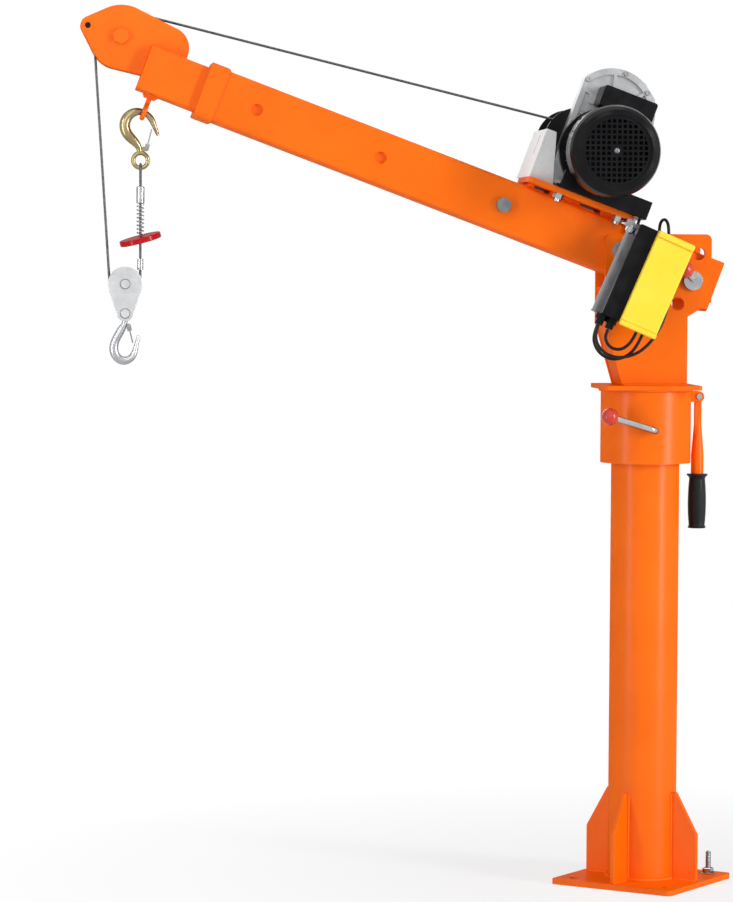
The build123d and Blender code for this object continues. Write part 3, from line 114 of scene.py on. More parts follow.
# rope, and the wheels that it runs over
ROPE_R = 0.0024
ROPE_LAY = 0.030
ROPE_STEP = 0.0022
ROPE_LEAD = 12 * ROPE_R
DRUM_AT = joint_at("drum_spin")
DRUM_PITCH_R = 0.0281
WIND_START = 0.0056
WIND_PITCH = 0.0056
WIND_LOOPS = 13
WIND_STEP = 0.0030
HEAD_AT = joint_at("head_sheave_spin")
HEAD_PITCH_R = 0.048
HEAD_ARCS = 9
BLOCK_AT = joint_at("block_sheave_spin")
BLOCK_PITCH_R = 0.028
BLOCK_ARCS = 12

# dead end of the rope, up to the loop in the anchor hook
FALL_X = BLOCK_AT.x + BLOCK_PITCH_R
SLEEVE_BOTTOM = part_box("rope_crimps")[0].z
DEAD_FALL_LAY = 0.010
DEAD_FALL_STEP = 0.0005
FERRULE_BOTTOM = 1.260
FERRULE_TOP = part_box("rope_crimps")[1].z
LOOP_FOOT_Y = 0.0029
LOOP_FOOT_UP = 0.0006
LOOP_WAIST = (0.0052, 1.3100)
LOOP_BEND_Z = 1.3255
LOOP_BEND_R = 0.0067
LOOP_ARCS = 4
LOOP_STEP = 0.0012
SPRING_LOW = 1.2034
SPRING_HIGH = 1.2588
SPRING_R = 0.0063
SPRING_WIRE_R = 0.0009
SPRING_WIRE_SIDES = 8
SPRING_TURNS = 8
SPRING_EACH = 16
SPRING_STEP = 0.0012


# materials


def shader(name):
    made = bpy.data.materials.new(name)
    made.use_nodes = True
    tree = made.node_tree
    return made, tree.nodes, tree.links, tree.nodes["Principled BSDF"]


def scaled_coords(nodes, links, stretch=(1, 1, 1)):
    coords = nodes.new("ShaderNodeTexCoord")
    mapping = nodes.new("ShaderNodeMapping")
    mapping.inputs["Scale"].default_value = stretch
    links.new(coords.outputs["Object"], mapping.inputs["Vector"])
    return mapping.outputs["Vector"]


def noise(nodes, links, vector, scale, detail):
    made = nodes.new("ShaderNodeTexNoise")
    made.inputs["Scale"].default_value = scale
    made.inputs["Detail"].default_value = detail
    links.new(vector, made.inputs["Vector"])
    return made.outputs["Fac"]


def spread(nodes, links, value, low, high, start=0.35, end=0.65):
    made = nodes.new("ShaderNodeMapRange")
    made.inputs["From Min"].default_value = start
    made.inputs["From Max"].default_value = end
    made.inputs["To Min"].default_value = low
    made.inputs["To Max"].default_value = high
    links.new(value, made.inputs["Value"])
    return made.outputs["Result"]


def two_tone(nodes, links, factor, first, second):
    made = nodes.new("ShaderNodeMix")
    made.data_type = "RGBA"
    made.inputs["A"].default_value = (*first, 1)
    made.inputs["B"].default_value = (*second, 1)
    links.new(factor, made.inputs["Factor"])
    return made.outputs["Result"]


def relief(nodes, links, height, strength, depth):
    made = nodes.new("ShaderNodeBump")
    made.inputs["Strength"].default_value = strength
    made.inputs["Distance"].default_value = depth
    links.new(height, made.inputs["Height"])
    return made.outputs["Normal"]


def finish(
    name,
    first,
    second,
    rough,
    patch,
    grain,
    metallic=0.0,
    specular=0.5,
    coat=0.0,
    coat_rough=0.12,
    coat_ior=1.5,
    rim=1.0,
    stretch=(1, 1, 1),
    relief_strength=0.1,
    relief_depth=0.0002,
):
    """A finish with soft patches of two tones, uneven gloss and a fine grain."""
    made, nodes, links, bsdf = shader(name)
    coords = scaled_coords(nodes, links, stretch)
    cloud = noise(nodes, links, coords, patch, detail=4.0)
    factor = spread(nodes, links, cloud, 0.0, 1.0)
    links.new(two_tone(nodes, links, factor, first, second), bsdf.inputs["Base Color"])
    links.new(spread(nodes, links, cloud, *rough), bsdf.inputs["Roughness"])
    fine = noise(nodes, links, coords, grain, detail=2.0)
    normal = relief(nodes, links, fine, relief_strength, relief_depth)
    links.new(normal, bsdf.inputs["Normal"])
    bsdf.inputs["Metallic"].default_value = metallic
    bsdf.inputs["Specular IOR Level"].default_value = specular
    bsdf.inputs["Coat Weight"].default_value = coat
    bsdf.inputs["Coat Roughness"].default_value = coat_rough
    bsdf.inputs["Coat IOR"].default_value = coat_ior
    bsdf.inputs["Specular Tint"].default_value = (rim, rim, rim, 1.0)
    return made


def spangled(name, first, second, rough, cell, metallic, specular):
    """Galvanised sheet: flat crystals that differ a little in tone and gloss."""
    made, nodes, links, bsdf = shader(name)
    coords = scaled_coords(nodes, links)
    cells = nodes.new("ShaderNodeTexVoronoi")
    cells.inputs["Scale"].default_value = cell
    links.new(coords, cells.inputs["Vector"])
    grey = nodes.new("ShaderNodeSeparateColor")
    links.new(cells.outputs["Color"], grey.inputs["Color"])
    tone = grey.outputs["Red"]
    links.new(two_tone(nodes, links, tone, first, second), bsdf.inputs["Base Color"])
    links.new(spread(nodes, links, tone, *rough, 0.0, 1.0), bsdf.inputs["Roughness"])
    bsdf.inputs["Metallic"].default_value = metallic
    bsdf.inputs["Specular IOR Level"].default_value = specular
    return made


# paints and plastics
ORANGE = finish(
    "orange_powder_coat", (0.89, 0.138, 0.001), (0.95, 0.156, 0.002), rough=(0.36, 0.44),
    specular=0.0, coat=0.10, coat_rough=0.32, coat_ior=2.4,
    patch=9.0, grain=1100.0, relief_strength=0.10, relief_depth=0.00015,
)
BLACK_PAINT = finish(
    "black_motor_paint", (0.004, 0.004, 0.005), (0.008, 0.008, 0.009), rough=(0.26, 0.36),
    specular=0.12, patch=30.0, grain=1300.0, relief_strength=0.18, relief_depth=0.0003,
)
GLOSS_BLACK = finish(
    "black_gloss_paint", (0.003, 0.003, 0.004), (0.006, 0.006, 0.007), rough=(0.18, 0.24),
    specular=0.12, patch=30.0, grain=1300.0, relief_strength=0.06,
)
BLACK_PLASTIC = finish(
    "black_moulded_plastic", (0.004, 0.004, 0.005), (0.008, 0.008, 0.009), rough=(0.32, 0.42),
    specular=0.10, patch=40.0, grain=2200.0, relief_strength=0.10,
)
YELLOW = finish(
    "yellow_cover_plastic", (0.96, 0.655, 0.045), (0.98, 0.70, 0.06), rough=(0.32, 0.40),
    specular=0.16, patch=16.0, grain=2000.0, relief_strength=0.06,
)
RED_PLASTIC = finish(
    "red_knob_plastic", (0.55, 0.040, 0.022), (0.62, 0.055, 0.030), rough=(0.20, 0.28),
    specular=0.35, patch=60.0, grain=900.0, relief_strength=0.03,
)
RED_DISC = finish(
    "red_disc_plastic", (0.42, 0.006, 0.012), (0.48, 0.010, 0.016), rough=(0.24, 0.34),
    specular=0.0, coat=0.10, coat_rough=0.18, coat_ior=2.0,
    patch=50.0, grain=1200.0, relief_strength=0.05,
)
RUBBER = finish(
    "black_rubber", (0.007, 0.007, 0.008), (0.011, 0.011, 0.012), rough=(0.36, 0.50),
    specular=0.16, patch=60.0, grain=1800.0, relief_strength=0.2,
)
NYLON = finish(
    "natural_nylon", (0.74, 0.72, 0.66), (0.80, 0.79, 0.73), rough=(0.42, 0.52),
    patch=50.0, grain=1500.0, relief_strength=0.05,
)

# metals
ZINC = finish(
    "zinc_plate", (0.38, 0.385, 0.40), (0.46, 0.465, 0.48), rough=(0.20, 0.30),
    metallic=0.95, rim=0.25, patch=40.0, grain=1500.0, relief_strength=0.02,
)
PLATE_ZINC = finish(
    "bright_zinc_plate", (0.53, 0.535, 0.545), (0.59, 0.595, 0.605), rough=(0.28, 0.36),
    metallic=0.7, rim=0.30, patch=45.0, grain=1500.0, relief_strength=0.02,
)
GOLD_ZINC = finish(
    "yellow_passivate", (0.29, 0.225, 0.105), (0.37, 0.30, 0.165), rough=(0.18, 0.28),
    metallic=0.95, rim=0.20, patch=45.0, grain=1100.0, relief_strength=0.03,
)
CHROME = finish(
    "chrome_plate", (0.42, 0.43, 0.45), (0.50, 0.51, 0.52), rough=(0.06, 0.14),
    metallic=1.0, rim=0.25, patch=70.0, grain=1600.0, relief_strength=0.03,
)
PLATED_STEEL = finish(
    "plated_bracket", (0.27, 0.275, 0.285), (0.33, 0.335, 0.345), rough=(0.14, 0.22),
    metallic=0.95, rim=0.35, patch=35.0, grain=1500.0, relief_strength=0.02,
)
GREY_STEEL = finish(
    "turned_steel", (0.15, 0.155, 0.16), (0.21, 0.215, 0.22), rough=(0.30, 0.46),
    metallic=0.9, patch=80.0, stretch=(1, 6, 1), grain=1400.0,
)
CAST_ALLOY = finish(
    "cast_alloy", (0.36, 0.365, 0.375), (0.45, 0.455, 0.46), rough=(0.36, 0.48),
    metallic=0.7, patch=24.0, grain=700.0, relief_strength=0.25, relief_depth=0.0004,
)
WIRE = finish(
    "steel_wire", (0.035, 0.037, 0.039), (0.13, 0.133, 0.138), rough=(0.30, 0.44),
    metallic=0.85, patch=420.0, grain=2600.0, relief_strength=0.3,
)
SHEET_ZINC = spangled(
    "galvanised_sheet", (0.74, 0.745, 0.75), (0.79, 0.795, 0.80), rough=(0.46, 0.54),
    cell=260.0, metallic=0.12, specular=0.2,
)

BY_SLOT = {
    "orange_paint": ORANGE,
    "zinc_steel": ZINC,
    "grey_steel": GREY_STEEL,
    "black_paint": BLACK_PAINT,
    "black_plastic": BLACK_PLASTIC,
    "cast_alloy": CAST_ALLOY,
    "sheet_zinc": SHEET_ZINC,
    "red_plastic": RED_PLASTIC,
    "black_rubber": RUBBER,
    "yellow_plastic": YELLOW,
    "gold_zinc": GOLD_ZINC,
    "wire_rope": WIRE,
    "nylon": NYLON,
}

# nodes whose finish differs from the rest of their slot
BY_NODE = {
    "clamp_lever": CHROME,
    "limit_disc": RED_DISC,
    "block_cheeks": PLATE_ZINC,
    "block_pins": PLATE_ZINC,
    "anchor_hook_latch": PLATED_STEEL,
    "load_hook_latch": PLATED_STEEL,
    "control_bracket": PLATED_STEEL,
    # the pivot bolt's head takes the brighter zinc as painted light, so that it looks lit where
    # it lies in shade
    "pivot_bolt": PLATE_ZINC,
    "luff_pin": ZINC,
    "fan_cover": GLOSS_BLACK,
}

# nodes with machined, sheared or moulded edges that catch the light, and the width of that edge
EDGES = {
    "base_plate": 0.0012,
    "gussets": 0.0010,
    "head_plate": 0.0012,
    "yoke_plates": 0.0012,
    "yoke_web": 0.0010,
    "boom_band": 0.0010,
    "hoist_saddle": 0.0010,
    "saddle_risers": 0.0010,
    "head_cheeks": 0.0010,
    "handle_lug": 0.0008,
    "hoist_base": 0.0012,
    "gear_housing": 0.0014,
    "capacitor_box": 0.0020,
    "drum_guard": 0.0006,
    "control_box": 0.0025,
    "control_cover": 0.0030,
    "control_bracket": 0.0006,
    "block_cheeks": 0.0006,
    "block_pins": 0.0008,
    "saddle_bolts": 0.0007,
    "pivot_bolt": 0.0010,
    "head_sheave_bolt": 0.0010,
    "cable_glands": 0.0008,
    "telescope_pin": 0.0010,
    "luff_pin": 0.0010,
    "rope_drum": 0.0008,
}
EDGE_SEGMENTS = 2
EDGE_ANGLE = math.radians(40)
MERGE_WITHIN = 0.00001
FLAT_WEIGHT = 100


def break_edges(node, width):
    joined = node.modifiers.new("joined_faces", "WELD")
    joined.merge_threshold = MERGE_WITHIN
    bevel = node.modifiers.new("broken_edges", "BEVEL")
    bevel.width = width
    bevel.segments = EDGE_SEGMENTS
    bevel.limit_method = "ANGLE"
    bevel.angle_limit = EDGE_ANGLE
    bevel.loop_slide = False


def dress_nodes():
    slots = {row["node"]: row["material_slot"] for row in frame["record"]["subparts"]}
    for name, node in frame["nodes"].items():
        node.data.materials.clear()
        node.data.materials.append(BY_NODE.get(name, BY_SLOT[slots[name]]))
        if name in EDGES:
            break_edges(node, EDGES[name])
        flat = node.modifiers.new("flat_faces", "WEIGHTED_NORMAL")
        flat.weight = FLAT_WEIGHT
        flat.keep_sharp = True


# mesh builders

# a profile that closes on its axis ends this far from it
ON_AXIS = 0.00001
LATHE_SIDES = 48
SCREW_SIDES = 24
HEX_SIDES = 36
CRISP_ANGLE = math.radians(38)
SPLINE_ORDER = 3
SPLINE_RESOLUTION = 12
# what a control point adds to the middle of its own span, at this order
OWN_SHARE = 0.75
FEWEST_SPANS = 4
RING_POINTS = 72
CORNER_STEPS = 6


def piece(name, points, faces, material, body):
    mesh = bpy.data.meshes.new(name)
    mesh.from_pydata([tuple(p) for p in points], [], faces)
    mesh.update()
    mesh.materials.append(material)
    mesh.shade_smooth()
    made = bpy.data.objects.new(name, mesh)
    bpy.context.scene.collection.objects.link(made)
    if body:
        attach(made, body)
    return made


def grid_faces(rings, sides, closed=False):
    """Faces of rings of points joined one to the next, with flat ends where it isn't closed."""
    faces = []
    for i in range(rings if closed else rings - 1):
        a = i * sides
        b = (i + 1) % rings * sides
        for k in range(sides):
            on = (k + 1) % sides
            faces.append((a + k, a + on, b + on, b + k))
    if not closed:
        faces.append(tuple(reversed(range(sides))))
        faces.append(tuple(range((rings - 1) * sides, rings * sides)))
    return faces


def frames(points, closed):
    """Each point with two normals, turned along the line without twist."""
    last = len(points) - 1
    normal = None
    made = []
    for i, point in enumerate(points):
        if closed:
            way = points[(i + 1) % len(points)] - points[i - 1]
        else:
            way = points[min(i + 1, last)] - points[max(i - 1, 0)]
        way = way.normalized()
        if normal is None:
            normal = way.orthogonal().normalized()
        normal = (normal - way * normal.dot(way)).normalized()
        made.append((point, normal, way.cross(normal)))
    return made


def tube(name, line, outline, material, body, closed=False):
    """A tube round a line; outline(i, angle) gives its radius at each point."""
    points = []
    for i, (point, a, b) in enumerate(frames(line, closed)):
        for k in range(outline.sides):
            angle = FULL_TURN * k / outline.sides
            radius = outline(i, angle)
            points.append(point + a * (radius * math.cos(angle)) + b * (radius * math.sin(angle)))
    faces = grid_faces(len(line), outline.sides, closed)
    made = piece(name, points, faces, material, body)
    return made


class Round:
    """A plain round wire."""

    def __init__(self, radius, sides):
        self.radius = radius
        self.sides = sides

    def __call__(self, i, angle):
        return self.radius


class Strands:
    """A rope laid from strands: lobes that turn along its length."""

    COUNT = 6
    SIDES_EACH = 4
    VALLEY = 0.83

    def __init__(self, radius, step, lay):
        self.radius = radius
        self.twist = FULL_TURN * step / lay
        self.sides = self.SIDES_EACH * self.COUNT

    def __call__(self, i, angle):
        lobe = abs(math.cos((angle + i * self.twist) * self.COUNT / 2))
        return self.radius * (self.VALLEY + (1 - self.VALLEY) * lobe)


class Bead:
    """A weld bead with the ripples that the torch leaves."""

    STEP = 0.0014
    RIPPLE_PITCH = 0.0042
    RIPPLE = 0.13
    sides = 8

    def __init__(self, radius):
        self.radius = radius
        self.turn = FULL_TURN * self.STEP / self.RIPPLE_PITCH

    def __call__(self, i, angle):
        return self.radius * (1 + self.RIPPLE * math.sin(i * self.turn))


def resample(points, step, closed=False):
    """The same line with points a set distance apart."""
    line = list(points) + ([points[0]] if closed else [])
    total = sum((b - a).length for a, b in zip(line, line[1:]))
    count = max(FEWEST_SPANS, round(total / step))
    made = []
    done = 0.0
    k = 0
    for i in range(count if closed else count + 1):
        goal = total * i / count
        while k < len(line) - 2 and done + (line[k + 1] - line[k]).length < goal:
            done += (line[k + 1] - line[k]).length
            k += 1
        span = (line[k + 1] - line[k]).length
        made.append(line[k].lerp(line[k + 1], (goal - done) / span))
    return made


def spline_object(name, route):
    curve = bpy.data.curves.new(name, "CURVE")
    curve.dimensions = "3D"
    curve.resolution_u = SPLINE_RESOLUTION
    spline = curve.splines.new("NURBS")
    spline.points.add(len(route) - 1)
    for point, place in zip(spline.points, route):
        point.co = (*place, 1)
    spline.order_u = SPLINE_ORDER
    spline.use_endpoint_u = True
    made = bpy.data.objects.new(name, curve)
    bpy.context.scene.collection.objects.link(made)
    return made


def spline_points(route, step):
    """Points along the smooth NURBS line that a route controls."""
    guide = spline_object("guide", route)
    mesh = bpy.data.meshes.new_from_object(guide)
    points = [v.co.copy() for v in mesh.vertices]
    curve = guide.data
    bpy.data.objects.remove(guide)
    bpy.data.curves.remove(curve)
    bpy.data.meshes.remove(mesh)
    return resample(points, step)


def rope(name, route, body, lay=ROPE_LAY, step=ROPE_STEP):
    outline = Strands(ROPE_R, step, lay)
    return tube(name, spline_points(route, step), outline, WIRE, body)


def weld(name, points, radius, body, closed=False):
    line = resample(points, Bead.STEP, closed)
    tube(name, line, Bead(radius), ORANGE, body, closed)


def lathe(name, profile, base, axis, material, body, sides=LATHE_SIDES, outline=None):
    """Turns (radius, height) pairs round an axis; outline(height, angle) scales the radius."""
    first = axis.orthogonal().normalized()
    second = axis.cross(first)
    points = []
    for radius, height in profile:
        for k in range(sides):
            angle = FULL_TURN * k / sides
            reach = radius * (outline(height, angle) if outline else 1)
            out = first * math.cos(angle) + second * math.sin(angle)
            points.append(base + axis * height + out * reach)
    made = piece(name, points, grid_faces(len(profile), sides), material, body)
    crisp = made.modifiers.new("crisp_edges", "EDGE_SPLIT")
    crisp.split_angle = CRISP_ANGLE
    return made


def turned(bore, radius, low, high, under, over):
    """Outline of a washer, nut or pin; under and over are its chamfers' width and height."""
    return [
        (bore, low),
        (radius - under[0], low),
        (radius, low + under[1]),
        (radius, high - over[1]),
        (radius - over[0], high),
        (bore, high),
    ]


def hex_outline(height, angle):
    """Radius of a hexagon against its flats."""
    sixth = FULL_TURN / 6
    return 1 / math.cos((angle % sixth) - sixth / 2)


def cap_screw(name, base, axis, radius, material, body):
    """A socket cap screw: a head with a broken edge and a recess."""
    top = radius * 0.9
    recess = top * 0.45
    profile = [
        (radius, 0),
        (radius, top * 0.82),
        (radius * 0.9, top),
        (radius * 0.52, top),
        (radius * 0.50, recess),
        (ON_AXIS, recess),
    ]
    lathe(name, profile, base, axis, material, body, SCREW_SIDES)


def pan_screw(name, base, axis, radius, material, body):
    """A low domed screw with a recess in its middle."""
    profile = [
        (radius, 0),
        (radius * 0.97, radius * 0.18),
        (radius * 0.75, radius * 0.42),
        (radius * 0.42, radius * 0.52),
        (radius * 0.36, radius * 0.22),
        (ON_AXIS, radius * 0.18),
    ]
    lathe(name, profile, base, axis, material, body, SCREW_SIDES)


# rope reeving


def tangent(first, first_r, second, second_r):
    """Where a taut rope leaves one wheel and meets the next, and the angle there."""
    way = Vector((second.x - first.x, second.z - first.z))
    unit = way.normalized()
    lean = (first_r - second_r) / way.length
    normal = unit * lean + Vector((unit.y, -unit.x)) * math.sqrt(1 - lean * lean)
    out = Vector((normal.x, 0, normal.y))
    leave = at_depth(first, 0) + out * first_r
    reach = at_depth(second, 0) + out * second_r
    return leave, reach, math.atan2(normal.y, normal.x)


def taut(start, end):
    """Control points of a straight stretch: its ends, and one a short way in from each."""
    whole = end - start
    lead = whole.normalized() * min(ROPE_LEAD, whole.length / 3)
    return [start, start + lead, end - lead, end]


def control_radius(radius, turn):
    """Where control points stand, a turn apart, to hold the smooth line on this radius."""
    return radius / (OWN_SHARE + (1 - OWN_SHARE) * math.cos(turn))


def round_wheel(centre, radius, start, end, steps):
    """Control points that hold the rope on a wheel of this radius."""
    turn = (end - start) / steps
    outer = control_radius(radius, turn)
    places = [(radius, start)]
    places += [(outer, start + (k + 0.5) * turn) for k in range(steps)]
    places.append((radius, end))
    middle = at_depth(centre, 0)
    return [middle + (RIGHT * math.cos(a) + UP * math.sin(a)) * reach for reach, a in places]


def helix(centre, first, second, axis, radius, pitch, turns, each=18):
    """Control points that hold the smooth line on a helix of this radius."""
    turn = FULL_TURN / each
    outer = control_radius(radius, turn)
    made = []
    for k in range(turns * each + 1):
        reach = outer if 0 < k < turns * each else radius
        out = first * math.cos(k * turn) + second * math.sin(k * turn)
        made.append(centre + out * reach + axis * (pitch * k / each))
    return made


def loop_route():
    """Control points of the loop: up from the ferrule, over the hook's bend and down again."""
    legs = ((LOOP_FOOT_Y, FERRULE_TOP + LOOP_FOOT_UP), LOOP_WAIST)
    turn = math.pi / LOOP_ARCS
    reach = control_radius(LOOP_BEND_R, turn)
    bend = [math.pi - k * turn for k in range(LOOP_ARCS + 1)]
    pairs = [(-y, z) for y, z in legs]
    pairs += [(reach * math.cos(a), LOOP_BEND_Z + reach * math.sin(a)) for a in bend]
    pairs += reversed(legs)
    return [Vector((FALL_X, y, z)) for y, z in pairs]


def reeve():
    """The rope, from the drum over the boom's head, down to the block and up to its dead end."""
    leave_drum, reach_head, run_angle = tangent(DRUM_AT, DRUM_PITCH_R, HEAD_AT, HEAD_PITCH_R)
    leave_head, reach_block, fall_angle = tangent(HEAD_AT, HEAD_PITCH_R, BLOCK_AT, BLOCK_PITCH_R)
    fall_turn = fall_angle % FULL_TURN
    run = rope("top_rope_run", taut(leave_drum, reach_head), None)
    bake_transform(run)
    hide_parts("rope_run")
    over_head = round_wheel(HEAD_AT, HEAD_PITCH_R, run_angle, fall_turn, HEAD_ARCS)
    over = rope("rope_over_head", over_head, "boom_inner")
    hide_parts("rope_head_wrap")
    live = rope("live_fall", taut(leave_head, reach_block), None)
    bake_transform(live)
    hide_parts("rope_fall_live")
    under_block = round_wheel(BLOCK_AT, BLOCK_PITCH_R, fall_turn, FULL_TURN, BLOCK_ARCS)
    under = rope("rope_under_block", under_block, "hook_block")
    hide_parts("rope_block_wrap")
    low = Vector((FALL_X, 0, BLOCK_AT.z))
    high = Vector((FALL_X, 0, SLEEVE_BOTTOM))
    dead = rope("dead_fall", taut(high, low), None, DEAD_FALL_LAY, DEAD_FALL_STEP)
    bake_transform(dead)
    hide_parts("rope_fall_dead")
    tail = rope("rope_tail", taut(Vector((FALL_X, 0, FERRULE_BOTTOM)), high), "boom_inner")
    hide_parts("rope_dead_end")
    loop = rope("rope_loop", loop_route(), "boom_inner", step=LOOP_STEP)
    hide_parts("rope_dead_end")


def wind_drum():
    start = at_depth(DRUM_AT, WIND_START)
    route = helix(start, ALONG, ACROSS, FAR, DRUM_PITCH_R, WIND_PITCH, WIND_LOOPS)
    made = rope("drum_turns", route, "rope_drum", step=WIND_STEP)
    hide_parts("drum_winding")


def limit_spring():
    low = Vector((FALL_X, 0, SPRING_LOW))
    pitch = (SPRING_HIGH - SPRING_LOW) / SPRING_TURNS
    route = helix(low, RIGHT, FAR, UP, SPRING_R, pitch, SPRING_TURNS, SPRING_EACH)
    line = spline_points(route, SPRING_STEP)
    wire = Round(SPRING_WIRE_R, SPRING_WIRE_SIDES)
    made = tube("limit_coil", line, wire, ZINC, None)
    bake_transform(made)
    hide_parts("limit_spring")


# cables: control points as in the part's source, in metres

CABLE_R = 0.0029
CABLE_FACETS = 4
SHORT_JUMPER = [
    (-0.0955, -0.136, 1.0359),
    (-0.1003, -0.136, 1.0249),
    (-0.0983, -0.136, 1.0120),
    (-0.0899, -0.136, 1.0022),
    (-0.0775, -0.136, 0.9983),
    (-0.0639, -0.136, 1.0018),
    (-0.0497, -0.136, 1.0159),
    (-0.0417, -0.136, 1.0344),
]
LONG_JUMPER = [
    (-0.1139, -0.131, 1.0439),
    (-0.1218, -0.131, 1.0255),
    (-0.1185, -0.131, 1.0037),
    (-0.1036, -0.131, 0.9863),
    (-0.0826, -0.131, 0.9797),
    (-0.0593, -0.131, 0.9858),
    (-0.0405, -0.131, 1.0044),
    (-0.0297, -0.131, 1.0292),
]
FEED = [
    (-0.1139, -0.1410, 1.0439),
    (-0.1194, -0.1410, 1.0310),
    (-0.1170, -0.1425, 1.0080),
    (-0.0980, -0.1430, 0.9879),
    (-0.0660, -0.1420, 0.9830),
    (-0.0300, -0.1380, 0.9970),
    (0.0000, -0.1295, 1.0320),
    (0.0175, -0.1170, 1.0720),
    (0.0240, -0.1040, 1.1100),
    (0.0250, -0.1040, 1.1500),
    (0.0210, -0.1040, 1.1900),
    (0.0210, -0.1040, 1.2250),
    (0.0178, -0.0934, 1.2363),
    (0.0132, -0.0784, 1.2363),
    (0.0100, -0.0678, 1.2250),
    (0.0100, -0.0670, 1.1950),
    (0.0018, -0.0660, 1.1837),
    (-0.0115, -0.0660, 1.1794),
    (-0.0248, -0.0660, 1.1837),
    (-0.0331, -0.0660, 1.1950),
    (-0.0328, -0.0660, 1.2205),
    (-0.0265, -0.0660, 1.2373),
]


def cable(name, route, node):
    made = spline_object(name, route)
    made.data.bevel_depth = CABLE_R
    made.data.bevel_resolution = CABLE_FACETS
    made.data.use_fill_caps = True
    made.data.materials.append(RUBBER)
    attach(made, "boom_outer")
    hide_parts(node)


def cables():
    cable("short_jumper", SHORT_JUMPER, "cable_jumpers")
    cable("long_jumper", LONG_JUMPER, "cable_jumpers")
    cable("feed_cable", FEED, "cable_feed")


# welds: each bead's radius and how far its middle stands off the two faces that it joins,
# and the two ends of each straight one

POST_BEAD = (0.0042, 0.0013, 0.0012)
UPRIGHT_BEAD = (0.0028, 0.0006, -0.0003)
UPRIGHT_SPAN = (PLATE_TOP + 0.004, GUSSET_TOP - 0.002)
FOOT_BEAD = (0.0028, 0.0006, 0.0006)
FOOT_SPAN = (POST_R + 0.0025, 0.1150)
COLLAR_BEAD = (0.0032, 0.0008, 0.0009)
YOKE_BEAD = (0.0030, 0.0006, 0.0009)
YOKE_SPAN = (-0.0540, 0.0650)
BAND_BEAD = (0.0026, 0.0002, 0.0004)
BAND_BACK = 0.7900
BAND_CORNER_R = 0.007
RISER_BEAD = (0.0022, 0.0002, 0.0006)
RISER_SPANS = ((0.036, 0.060), (0.100, 0.160), (0.191, 0.203))
CHEEK_BEAD = (0.0026, 0.0004, 0.0005)
CHEEK_SPAN = (0.8720, 0.9365)
EYE_BEAD = (0.0020, 0.0002, 0.0005)
EYE_SPAN = (0.8930, 0.9230)
EYE_PAD_HALF = 0.012


def level_ring(radius, height):
    """Points round the post's axis."""
    turns = [FULL_TURN * k / RING_POINTS for k in range(RING_POINTS)]
    return [(RIGHT * math.cos(a) + FAR * math.sin(a)) * radius + UP * height for a in turns]


def rounded_square(half, corner):
    """Pairs round a square with round corners."""
    made = []
    for k in range(4):
        middle = QUARTER * (k + 0.5)
        n = math.copysign(half - corner, math.cos(middle))
        y = math.copysign(half - corner, math.sin(middle))
        for step in range(CORNER_STEPS + 1):
            angle = QUARTER * (k + step / CORNER_STEPS)
            made.append((n + corner * math.cos(angle), y + corner * math.sin(angle)))
    return made


def base_welds():
    radius, out, up = POST_BEAD
    weld("post_weld", level_ring(POST_R + out, PLATE_TOP + up), radius, "base", closed=True)
    for k in range(GUSSETS):
        turn = Matrix.Rotation(BASE_TURN + QUARTER * k, 4, "Z")
        for side, word in BOTH_SIDES:
            name = f"gusset_{k}_{word}"
            radius, out, up = UPRIGHT_BEAD
            y = side * (GUSSET_HALF + out)
            upright = [turn @ Vector((POST_R + up, y, z)) for z in UPRIGHT_SPAN]
            weld(name + "_upright_weld", upright, radius, "base")
            radius, out, up = FOOT_BEAD
            y = side * (GUSSET_HALF + out)
            foot = [turn @ Vector((x, y, PLATE_TOP + up)) for x in FOOT_SPAN]
            weld(name + "_foot_weld", foot, radius, "base")


def head_welds():
    collar_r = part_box("collar")[1].x
    plate_low, plate_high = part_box("head_plate")
    radius, out, down = COLLAR_BEAD
    ring = level_ring(collar_r + out, plate_low.z - down)
    weld("collar_weld", ring, radius, "swivel_head", closed=True)
    radius, out, up = YOKE_BEAD
    yoke_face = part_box("yoke_plates")[1].y
    for side, word in BOTH_SIDES:
        line = [Vector((x, side * (yoke_face + out), plate_high.z + up)) for x in YOKE_SPAN]
        weld(f"yoke_weld_{word}", line, radius, "swivel_head")


def boom_welds():
    radius, out, back = BAND_BEAD
    square = rounded_square(OUTER_HALF + out, BAND_CORNER_R)
    band = [boom(BAND_BACK - back, n, y) for n, y in square]
    weld("band_weld", band, radius, "boom_outer", closed=True)
    radius, out, up = RISER_BEAD
    riser_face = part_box("saddle_risers")[1].y + out
    for span in RISER_SPANS:
        for side, word in BOTH_SIDES:
            line = [boom(s, OUTER_HALF + up, side * riser_face) for s in span]
            weld(f"riser_weld_{round(span[0] * 1000)}_{word}", line, radius, "boom_outer")
    for side, word in BOTH_SIDES:
        radius, out, up = CHEEK_BEAD
        line = [boom(s, INNER_HALF + up, side * (CHEEK_HALF + out)) for s in CHEEK_SPAN]
        weld(f"cheek_weld_{word}", line, radius, "boom_inner")
        radius, out, down = EYE_BEAD
        line = [boom(s, -INNER_HALF - down, side * (EYE_PAD_HALF + out)) for s in EYE_SPAN]
        weld(f"eye_weld_{word}", line, radius, "boom_inner")


# fittings

STUD_ROOT_R = 0.0046
STUD_CREST_R = 0.0052
STUD_TIP_R = 0.0036
STUD_FOOT = -0.009
STUD_TOP = 0.0425
THREAD_TOP = 0.0405
THREAD_TURNS = 27
THREAD_PITCH = 0.0011
THREAD_RISE = 0.0005
ANCHOR_BORE = 0.0045
ANCHOR_WASHER_R = 0.0138
ANCHOR_WASHER_T = 0.0022
ANCHOR_NUT_R = 0.0092
ANCHOR_NUT_TOP = 0.0114

